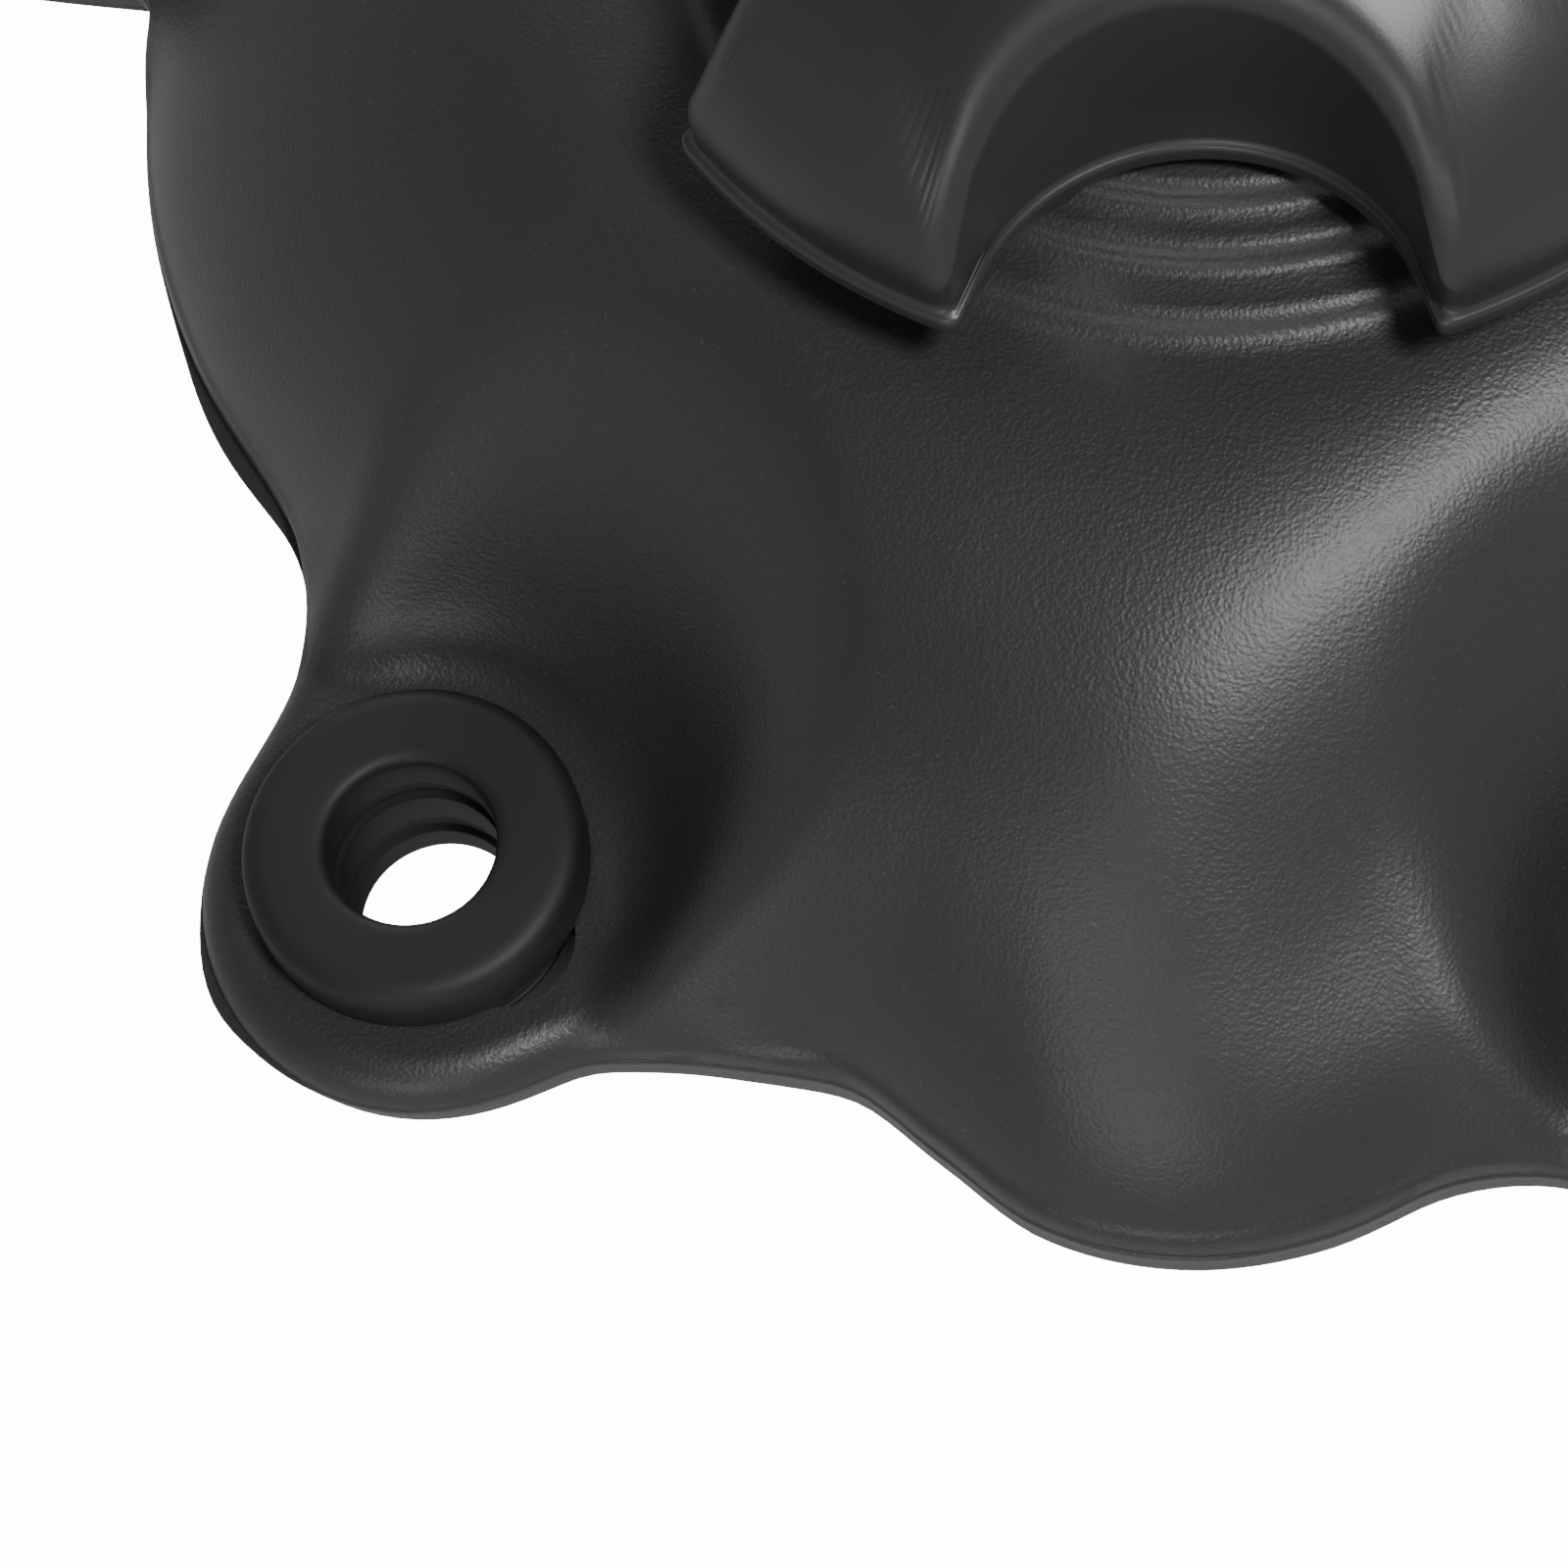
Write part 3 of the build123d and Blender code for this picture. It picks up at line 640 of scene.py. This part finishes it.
    def add_slot(self, mesh: bmesh.types.BMesh, ear: Ear) -> None:
        """Add one ear's oblong hole to the cutter.

        Args:
            mesh: Cutter geometry.
            ear: The ear it goes through.
        """
        height = 14.0
        ring = bmesh.ops.create_cone(
            mesh, cap_ends=True, segments=96, radius1=self.hole_r * MM, radius2=self.hole_r * MM,
            depth=height * MM,
        )["verts"]
        end = math.acos(self.slot_half / self.hole_r)
        for vert in ring:
            turn = math.atan2(vert.co.y, vert.co.x)
            if abs(turn) < math.pi / 2 - end:
                share = math.sin(turn) / math.sin(math.pi / 2 - end)
                vert.co.x = (self.slot_travel + self.slot_half * math.sqrt(1.0 - share * share)) * MM
        bmesh.ops.rotate(mesh, verts=ring, cent=(0, 0, 0), matrix=Matrix.Rotation(ear.slot_turn, 3, "Z"))
        bmesh.ops.translate(mesh, verts=ring, vec=(ear.x * MM, ear.y * MM, SEAM_Z * MM))

    def neck_thread(self) -> bpy.types.Object:
        """Helical ridge round the neck, drawn as a screw.

        Returns:
            The thread as a closed object.
        """
        root = self.neck_r
        depth = 1.3
        lead = 5.0
        turns = 1.5
        start = 33.6
        mesh = bmesh.new()
        corners = ((root - 0.3, -1.0), (root + depth, -0.5), (root + depth, 0.5), (root - 0.3, 1.0))
        verts = [mesh.verts.new((r * MM, 0.0, (SEAM_Z + start + z) * MM)) for r, z in corners]
        face = mesh.faces.new(verts)
        steps = int(96 * turns)
        bmesh.ops.spin(mesh, geom=[face], cent=(0, 0, 0), axis=(0, 0, 1), angle=TAU * turns,
                       steps=steps, dvec=(0, 0, lead * turns * MM / steps))
        bmesh.ops.recalc_face_normals(mesh, faces=mesh.faces[:])
        return object_from(mesh, "neck_thread", 30.0)


@dataclass
class RubberGrommet:
    """Flanged rubber bush with two shallow grooves in its bore."""

    ear: Ear
    rim_r: float = 10.0
    foot_r: float = 8.3
    neck_r: float = 7.5
    top: float = 6.5
    foot: float = -6.2
    pad: float = 2.5
    bore_r: float = 4.95
    groove: float = 0.35

    def build(self) -> bpy.types.Object:
        """Turn the bush about its bore.

        Returns:
            The finished grommet.
        """
        bore = self.bore_r
        wide = bore + self.groove
        corners = [
            (bore, self.foot, 0.5), (self.foot_r, self.foot, 1.0), (self.foot_r, -self.pad, 0.3),
            (self.neck_r, -self.pad, 0.2), (self.neck_r, self.pad, 0.2), (self.rim_r, self.pad, 0.5),
            (self.rim_r, self.top, 1.5), (bore, self.top, 0.9), (bore, 3.4, 0.25), (wide, 3.0, 0.2),
            (wide, 1.6, 0.2), (bore, 1.2, 0.25), (bore, -1.6, 0.25), (wide, -2.0, 0.2),
            (wide, -3.4, 0.2), (bore, -3.8, 0.25),
        ]
        profile = [(radius, SEAM_Z + height) for radius, height in rounded(corners)]
        return lathe(profile, 96, f"grommet_rubber_{self.ear.name}", (self.ear.x, self.ear.y))


@dataclass
class FillerCap:
    """Five-lobe screw cap: a domed star with a rounded rim, finger scallops and a foot lip."""

    spokes: int = 800
    rim_r: float = 36.6
    lobes: int = 5
    scallop_r: float = 13.1
    scallop_at: float = 36.4
    first_turn: float = -84.1
    base: float = 31.4
    height: float = 21.0
    side_h: float = 3.4
    roll: float = 9.0
    edge_round: float = 2.2
    corner_blend: float = 1.6
    lip: float = 0.5
    lip_h: float = 1.5
    wall: float = 2.8
    socket_r: float = 21.0
    socket_wall_r: float = 23.3
    socket_top: float = 47.5

    def star(self, x: float, y: float) -> float:
        """Signed distance to the cap's plan outline, negative inside."""
        result = math.hypot(x, y) - self.rim_r
        for lobe in range(self.lobes):
            turn = math.radians(self.first_turn + lobe * 360.0 / self.lobes)
            gap = math.hypot(x - self.scallop_at * math.cos(turn), y - self.scallop_at * math.sin(turn))
            result = smooth_max(result, self.scallop_r - gap, self.corner_blend)
        return result

    def dome(self, radius: float) -> float:
        """Height above the seam of the crown, which rolls over into the side."""
        share = min(1.0, radius / self.rim_r)
        return self.base + self.side_h + (self.height - self.side_h) * (1.0 - share ** 2.7) ** 0.62

    def top(self, x: float, y: float) -> float:
        """Height above the seam of the top skin, rounded over at each scallop."""
        away = min(
            math.hypot(x - self.scallop_at * math.cos(turn), y - self.scallop_at * math.sin(turn))
            for turn in (
                math.radians(self.first_turn + lobe * 360.0 / self.lobes) for lobe in range(self.lobes)
            )
        ) - self.scallop_r
        inside = max(0.0, min(self.edge_round, away))
        drop = self.edge_round - math.sqrt(self.edge_round ** 2 - (self.edge_round - inside) ** 2)
        return self.dome(math.hypot(x, y)) - drop

    def build(self) -> bpy.types.Object:
        """Grow the cap from its crown over the rim and into the pockets underneath.

        Returns:
            The finished cap.
        """
        far = self.rim_r + 6.0
        angles = even_angles(lambda turn: ray_crossing(self.star, turn, 0.0, far), self.spokes, 0.0)

        def contour(inset: float) -> list[float]:
            """Radius on each spoke at a distance inside the outline."""
            return [ray_crossing(self.star, turn, -inset, far) for turn in angles]

        def loop(radii: list[float], heights: list[float]) -> Loop:
            """Loop with its own radius and height on each spoke."""
            return [
                Vector((radius * math.cos(turn), radius * math.sin(turn), SEAM_Z + height))
                for radius, height, turn in zip(radii, heights, angles)
            ]

        def over(radii: list[float]) -> Loop:
            """Loop that lies on the top skin."""
            heights = [
                self.top(radius * math.cos(turn), radius * math.sin(turn))
                for radius, turn in zip(radii, angles)
            ]
            return loop(radii, heights)

        edge = contour(0.0)
        inner = contour(self.roll)
        skin = LoopSkin(self.spokes)
        skin.first(loop([1.0] * self.spokes, [self.dome(1.0)] * self.spokes), True)
        for share in (0.2, 0.4, 0.6, 0.75, 0.88, 1.0):
            skin.grow(over([1.0 + (radius - 1.0) * share for radius in inner]))
        for step in range(1, 21):
            inset = self.roll * (1.0 - math.sin(step * math.pi / 40.0))
            skin.grow(over(contour(inset)))
        low = self.base + self.lip_h
        brim = [
            self.top(radius * math.cos(turn), radius * math.sin(turn))
            for radius, turn in zip(edge, angles)
        ]
        for share in (0.33, 0.66, 1.0):
            heights = [high + (low + 0.4 - high) * share for high in brim]
            skin.grow(loop(edge, heights))
        for out, height in (
            (0.1, low + 0.12), (0.3, low), (0.42, low - 0.1), (self.lip, low - 0.35),
            (self.lip, self.base + 0.35), (self.lip - 0.3, self.base), (0.0, self.base),
        ):
            skin.grow(loop(contour(-out), [height] * self.spokes))
        self.grow_underside(skin, contour(self.wall), loop)
        return skin.finish("cap_grip", 2e-6)

    def grow_underside(self, skin: LoopSkin, pocket: list[float],
                       loop: Callable[[list[float], list[float]], Loop]) -> None:
        """Add the hollow lobes and the socket for the threaded core.

        Args:
            skin: The cap's skin, open at its foot.
            pocket: Outer radius of the pocket on each spoke.
            loop: Makes a loop from radii and heights.
        """
        outer = [max(radius, self.socket_wall_r - 0.6) for radius in pocket]
        deep = [radius > self.socket_wall_r + 0.5 for radius in outer]
        roof = [
            self.dome(radius) - self.wall - 1.0 if hollow else self.base + 0.05
            for radius, hollow in zip(outer, deep)
        ]
        wall = [self.socket_wall_r if hollow else radius for radius, hollow in zip(outer, deep)]
        flat = [self.base] * self.spokes
        skin.grow(loop(outer, flat))
        skin.grow(loop(outer, roof))
        skin.grow(loop(wall, roof))
        skin.grow(loop(wall, [self.base + 0.1] * self.spokes))
        for radius, height in (
            (self.socket_r + 0.3, self.base + 0.1), (self.socket_r, self.base + 0.4),
            (self.socket_r, self.socket_top), (1.0, self.socket_top),
        ):
            skin.grow(loop([radius] * self.spokes, [height] * self.spokes))
        skin.close()


class Shaders:
    """Builds node materials and the shader node groups they share."""

    def __init__(self) -> None:
        """Build the shared groups once."""
        self.grain = self.grain_group()

    @staticmethod
    def grain_group() -> bpy.types.NodeTree:
        """Group for moulded skin: a fine stipple height, slow mottling, and spots where glints are painted
        into the colour.

        Returns:
            The group, with Stipple, Mottle and Fleck outputs.
        """
        tree = bpy.data.node_groups.new("moulded_grain", "ShaderNodeTree")
        face = tree.interface
        face.new_socket("Vector", in_out="INPUT", socket_type="NodeSocketVector")
        face.new_socket("Fineness", in_out="INPUT", socket_type="NodeSocketFloat")
        face.new_socket("Stipple", in_out="OUTPUT", socket_type="NodeSocketFloat")
        face.new_socket("Mottle", in_out="OUTPUT", socket_type="NodeSocketFloat")
        face.new_socket("PaintedGlint", in_out="OUTPUT", socket_type="NodeSocketFloat")
        nodes = tree.nodes
        links = tree.links
        source = nodes.new("NodeGroupInput")
        sink = nodes.new("NodeGroupOutput")
        cells = nodes.new("ShaderNodeTexVoronoi")
        cells.feature = "SMOOTH_F1"
        cells.inputs["Smoothness"].default_value = 0.6
        pores = nodes.new("ShaderNodeTexNoise")
        pores.inputs["Detail"].default_value = 3.0
        pores.inputs["Roughness"].default_value = 0.6
        slow = nodes.new("ShaderNodeTexNoise")
        slow.inputs["Scale"].default_value = 55.0
        slow.inputs["Detail"].default_value = 4.0
        # Noise whose brightest spots become painted glints in the base colour.
        painted_glints = nodes.new("ShaderNodeTexNoise")
        painted_glints.inputs["Detail"].default_value = 1.0
        double = nodes.new("ShaderNodeMath")
        double.operation = "MULTIPLY"
        double.inputs[1].default_value = 1.7
        blend = nodes.new("ShaderNodeMath")
        blend.operation = "ADD"
        # Picks the spots of painted glint out of the noise.
        glint_spots = nodes.new("ShaderNodeMapRange")
        glint_spots.inputs["From Min"].default_value = 0.70
        glint_spots.inputs["From Max"].default_value = 0.80
        for node in (cells, pores, slow, painted_glints):
            links.new(source.outputs["Vector"], node.inputs["Vector"])
        links.new(source.outputs["Fineness"], cells.inputs["Scale"])
        links.new(source.outputs["Fineness"], double.inputs[0])
        links.new(double.outputs[0], pores.inputs["Scale"])
        links.new(source.outputs["Fineness"], painted_glints.inputs["Scale"])
        links.new(cells.outputs["Distance"], blend.inputs[0])
        links.new(pores.outputs["Fac"], blend.inputs[1])
        links.new(blend.outputs[0], sink.inputs["Stipple"])
        links.new(slow.outputs["Fac"], sink.inputs["Mottle"])
        links.new(painted_glints.outputs["Fac"], glint_spots.inputs["Value"])
        links.new(glint_spots.outputs["Result"], sink.inputs["PaintedGlint"])
        return tree

    def moulded(self, look: MouldedLook) -> bpy.types.Material:
        """Material of a moulded plastic or rubber piece.

        Args:
            look: Its colours, painted glints, gloss and grain.

        Returns:
            The material.
        """
        material = bpy.data.materials.new(look.name)
        material.use_nodes = True
        nodes = material.node_tree.nodes
        links = material.node_tree.links
        shader = nodes["Principled BSDF"]
        place = nodes.new("ShaderNodeTexCoord")
        grain = nodes.new("ShaderNodeGroup")
        grain.node_tree = self.grain
        grain.inputs["Fineness"].default_value = look.fineness
        links.new(place.outputs["Object"], grain.inputs["Vector"])
        tint = nodes.new("ShaderNodeMix")
        tint.data_type = "RGBA"
        tint.inputs["A"].default_value = (*look.dark, 1.0)
        tint.inputs["B"].default_value = (*look.light, 1.0)
        links.new(grain.outputs["Mottle"], tint.inputs["Factor"])
        # Painted glints: spots mixed up to four times the light tone, standing in for sparkle on the stippled
        # skin.
        glint_paint = nodes.new("ShaderNodeMix")
        glint_paint.data_type = "RGBA"
        glint_paint.inputs["B"].default_value = (*(4.0 * part for part in look.light), 1.0)
        fade = nodes.new("ShaderNodeMath")
        fade.operation = "MULTIPLY"
        fade.inputs[1].default_value = look.painted_glints
        links.new(grain.outputs["PaintedGlint"], fade.inputs[0])
        links.new(fade.outputs[0], glint_paint.inputs["Factor"])
        links.new(tint.outputs["Result"], glint_paint.inputs["A"])
        links.new(glint_paint.outputs["Result"], shader.inputs["Base Color"])
        gloss = nodes.new("ShaderNodeMapRange")
        gloss.inputs["To Min"].default_value = look.rough_low
        gloss.inputs["To Max"].default_value = look.rough_high
        links.new(grain.outputs["Mottle"], gloss.inputs["Value"])
        links.new(gloss.outputs["Result"], shader.inputs["Roughness"])
        bump = nodes.new("ShaderNodeBump")
        bump.inputs["Strength"].default_value = look.bump
        bump.inputs["Distance"].default_value = look.bump_depth * MM
        links.new(grain.outputs["Stipple"], bump.inputs["Height"])
        links.new(bump.outputs["Normal"], shader.inputs["Normal"])
        shader.inputs["Specular IOR Level"].default_value = look.specular
        shader.inputs["Sheen Weight"].default_value = look.sheen
        return material

    def metal(self, name: str, colour: Metal, rough: float, fineness: float) -> bpy.types.Material:
        """Material of a metal piece.

        Args:
            name: Name of the material.
            colour: Which metal.
            rough: Middle roughness.
            fineness: Scale of its surface grain.

        Returns:
            The material.
        """
        material = bpy.data.materials.new(name)
        material.use_nodes = True
        nodes = material.node_tree.nodes
        links = material.node_tree.links
        shader = nodes["Principled BSDF"]
        shader.inputs["Metallic"].default_value = 1.0
        place = nodes.new("ShaderNodeTexCoord")
        grain = nodes.new("ShaderNodeGroup")
        grain.node_tree = self.grain
        grain.inputs["Fineness"].default_value = fineness
        links.new(place.outputs["Object"], grain.inputs["Vector"])
        tint = nodes.new("ShaderNodeMix")
        tint.data_type = "RGBA"
        tint.inputs["A"].default_value = (*(0.72 * part for part in colour.value), 1.0)
        tint.inputs["B"].default_value = (*colour.value, 1.0)
        links.new(grain.outputs["Mottle"], tint.inputs["Factor"])
        links.new(tint.outputs["Result"], shader.inputs["Base Color"])
        gloss = nodes.new("ShaderNodeMapRange")
        gloss.inputs["To Min"].default_value = rough - 0.1
        gloss.inputs["To Max"].default_value = rough + 0.14
        links.new(grain.outputs["Mottle"], gloss.inputs["Value"])
        links.new(gloss.outputs["Result"], shader.inputs["Roughness"])
        bump = nodes.new("ShaderNodeBump")
        bump.inputs["Strength"].default_value = 0.25
        bump.inputs["Distance"].default_value = 0.03 * MM
        links.new(grain.outputs["Stipple"], bump.inputs["Height"])
        links.new(bump.outputs["Normal"], shader.inputs["Normal"])
        return material


@dataclass(frozen=True)
class MouldedLook:
    """Finish of a moulded plastic or rubber, with the share of glints painted into its colour."""

    name: str
    dark: tuple[float, float, float]
    light: tuple[float, float, float]
    rough_low: float
    rough_high: float
    fineness: float
    bump: float
    bump_depth: float
    # Share of painted glints: bright spots mixed into the colour in place of real sparkle.
    painted_glints: float = 0.0
    specular: float = 0.5
    sheen: float = 0.0


# The tank's skin has painted glints at a share of 0.3; the other looks have none.
TANK_LOOK = MouldedLook("tank_polyethylene", (0.016, 0.016, 0.0165), (0.024, 0.024, 0.0245),
                        0.34, 0.48, 3700.0, 0.5, 0.045, 0.3)
CAP_LOOK = MouldedLook("cap_plastic", (0.017, 0.017, 0.0175), (0.022, 0.022, 0.0225),
                       0.34, 0.44, 5200.0, 0.18, 0.02)
RUBBER_LOOK = MouldedLook("grommet_rubber", (0.009, 0.009, 0.009), (0.013, 0.013, 0.013),
                          0.48, 0.60, 6500.0, 0.2, 0.02, 0.0, 0.3)
NYLON_LOOK = MouldedLook("nylon_black", (0.015, 0.015, 0.015), (0.026, 0.026, 0.026),
                         0.38, 0.52, 4200.0, 0.3, 0.03)
MESH_LOOK = MouldedLook("strainer_nylon", (0.45, 0.44, 0.38), (0.6, 0.59, 0.52),
                        0.45, 0.6, 3800.0, 0.5, 0.05)


@dataclass(frozen=True)
class Lamp:
    """Square soft light: where it stands, what it points at, its side in metres and its watts."""

    name: str
    place: tuple[float, float, float]
    aim: tuple[float, float, float]
    size: float
    power: float


LAMPS = (
    Lamp("key", (0.38, -0.28, 0.92), (0.0, -0.03, 0.06), 0.18, 9.5),
    Lamp("front", (-0.08, -1.0, 0.48), (0.0, -0.03, 0.06), 0.35, 2.2),
    Lamp("rim", (-0.2, 0.7, 0.5), (0.0, 0.0, 0.06), 0.4, 3.0),
)


@dataclass
class Studio:
    """Floor, lights and camera."""

    azimuth: float = 24.0
    elevation: float = 65.68
    roll: float = -15.86
    lens: float = 135.0
    distance: float = 335.6
    aim: tuple[float, float, float] = (-19.0, -52.5, 51.5)
    floor_light: float = 0.08
    floor_white: float = 14.0
    horizon: float = 0.56
    ceiling: float = 0.10

    def camera(self) -> None:
        """Long-lens camera above the front, rolled a little."""
        data = bpy.data.cameras.new("camera")
        data.lens = self.lens
        data.sensor_width = 36.0
        data.clip_start = 0.01
        data.clip_end = 10.0
        turn = math.radians(self.azimuth)
        rise = math.radians(self.elevation)
        roll = math.radians(self.roll)
        forward = Vector((-math.sin(turn) * math.cos(rise), math.cos(turn) * math.cos(rise), -math.sin(rise)))
        right = Vector((math.cos(turn), math.sin(turn), 0.0))
        up = right.cross(forward)
        side = right * math.cos(roll) + up * math.sin(roll)
        top = up * math.cos(roll) - right * math.sin(roll)
        pose = Matrix((side, top, -forward)).transposed().to_4x4()
        pose.translation = (Vector(self.aim) - forward * self.distance) * MM
        lens = bpy.data.objects.new("camera", data)
        lens.matrix_world = pose
        bpy.context.scene.collection.objects.link(lens)
        bpy.context.scene.camera = lens

    @staticmethod
    def light(lamp: Lamp) -> None:
        """Add a square soft light."""
        data = bpy.data.lights.new(lamp.name, "AREA")
        data.shape = "SQUARE"
        data.size = lamp.size
        data.energy = lamp.power
        holder = bpy.data.objects.new(lamp.name, data)
        holder.location = lamp.place
        sight = Vector(lamp.aim) - Vector(lamp.place)
        holder.rotation_euler = sight.to_track_quat("-Z", "Y").to_euler()
        bpy.context.scene.collection.objects.link(holder)

    def floor(self) -> None:
        """White paper floor: the lens sees it burnt out, and the tank gets less of its light."""
        mesh = bmesh.new()
        bmesh.ops.create_grid(mesh, x_segments=2, y_segments=2, size=3.0)
        ground = object_from(mesh, "floor")
        material = bpy.data.materials.new("floor_paper")
        material.use_nodes = True
        nodes = material.node_tree.nodes
        links = material.node_tree.links
        shader = nodes["Principled BSDF"]
        shader.inputs["Base Color"].default_value = (0.5, 0.5, 0.5, 1.0)
        shader.inputs["Roughness"].default_value = 0.9
        shader.inputs["Emission Color"].default_value = (1.0, 1.0, 1.0, 1.0)
        path = nodes.new("ShaderNodeLightPath")
        glow = nodes.new("ShaderNodeMapRange")
        glow.inputs["To Min"].default_value = self.floor_light
        glow.inputs["To Max"].default_value = self.floor_white
        links.new(path.outputs["Is Camera Ray"], glow.inputs["Value"])
        links.new(glow.outputs["Result"], shader.inputs["Emission Strength"])
        ground.data.materials.append(material)

    def surroundings(self) -> None:
        """White sweep all round at eye height that fades to a dim ceiling."""
        world = bpy.data.worlds.new("surroundings")
        world.use_nodes = True
        nodes = world.node_tree.nodes
        links = world.node_tree.links
        back = nodes["Background"]
        back.inputs["Color"].default_value = (1.0, 1.0, 1.0, 1.0)
        place = nodes.new("ShaderNodeTexCoord")
        split = nodes.new("ShaderNodeSeparateXYZ")
        fade = nodes.new("ShaderNodeMapRange")
        fade.interpolation_type = "SMOOTHSTEP"
        fade.inputs["From Min"].default_value = 0.05
        fade.inputs["From Max"].default_value = 0.85
        fade.inputs["To Min"].default_value = self.horizon
        fade.inputs["To Max"].default_value = self.ceiling
        links.new(place.outputs["Generated"], split.inputs["Vector"])
        links.new(split.outputs["Z"], fade.inputs["Value"])
        links.new(fade.outputs["Result"], back.inputs["Strength"])
        bpy.context.scene.world = world

    def build(self) -> None:
        """Set up the camera, the floor, the surroundings and the lights."""
        self.camera()
        self.floor()
        self.surroundings()
        for lamp in LAMPS:
            self.light(lamp)


def dress(piece: bpy.types.Object, material: bpy.types.Material) -> None:
    """Give every slot of a piece one material."""
    piece.data.materials.clear()
    piece.data.materials.append(material)


def dress_nodes(shaders: Shaders) -> None:
    """Give the carried-over nodes their finishes.

    Args:
        shaders: Material builder.
    """
    nylon = shaders.moulded(NYLON_LOOK)
    rubber = shaders.moulded(RUBBER_LOOK)
    brass = shaders.metal("turned_brass", Metal.BRASS, 0.3, 5200.0)
    casting = shaders.metal("zinc_casting", Metal.ZINC_CASTING, 0.46, 2600.0)
    steel = shaders.metal("plated_steel", Metal.PLATED_STEEL, 0.32, 5200.0)
    spring = shaders.metal("spring_steel", Metal.SPRING_STEEL, 0.3, 5200.0)
    finishes = {
        "tank_inserts": brass, "cap_core": nylon, "cap_gasket": rubber, "vent_valve": rubber,
        "vent_baffle": nylon, "tap_gasket": rubber, "tap_body": casting, "tap_outlet": brass,
        "tap_valve_seal": rubber, "tap_lever": nylon, "tap_wave_spring": spring,
        "tap_face_plate": steel, "tap_plate_screws": steel, "tap_mount_screws": steel,
        "tap_screw_washers": steel, "tap_standpipe": brass, "tap_strainer": shaders.moulded(MESH_LOOK),
    }
    for name, material in finishes.items():
        dress(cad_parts[name], material)
        LOG.info("dressed %s", name)


def main() -> None:
    """Build every piece around the frame, in order."""
    logging.basicConfig(level=logging.INFO)
    Studio().build()
    shaders = Shaders()
    dress_nodes(shaders)

    tank = TankSkin()
    plastic = shaders.moulded(TANK_LOOK)
    body = tank.build()
    dress(body, plastic)
    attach(body, Body.TANK.value)
    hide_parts("tank_shell")
    LOG.info("tank skin: %d faces", len(body.data.polygons))
    thread = tank.neck_thread()
    dress(thread, plastic)
    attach(thread, Body.TANK.value)

    rubber = shaders.moulded(RUBBER_LOOK)
    for ear in EARS:
        bush = RubberGrommet(ear).build()
        dress(bush, rubber)
        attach(bush, Body.TANK.value)
        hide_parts(f"grommet_{ear.name}")
        LOG.info("grommet: %s", ear.name)

    cap = FillerCap().build()
    dress(cap, shaders.moulded(CAP_LOOK))
    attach(cap, Body.CAP.value)
    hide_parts("cap_shell")
    LOG.info("cap grip: %d faces", len(cap.data.polygons))


if __name__ == "__main__":
    main()
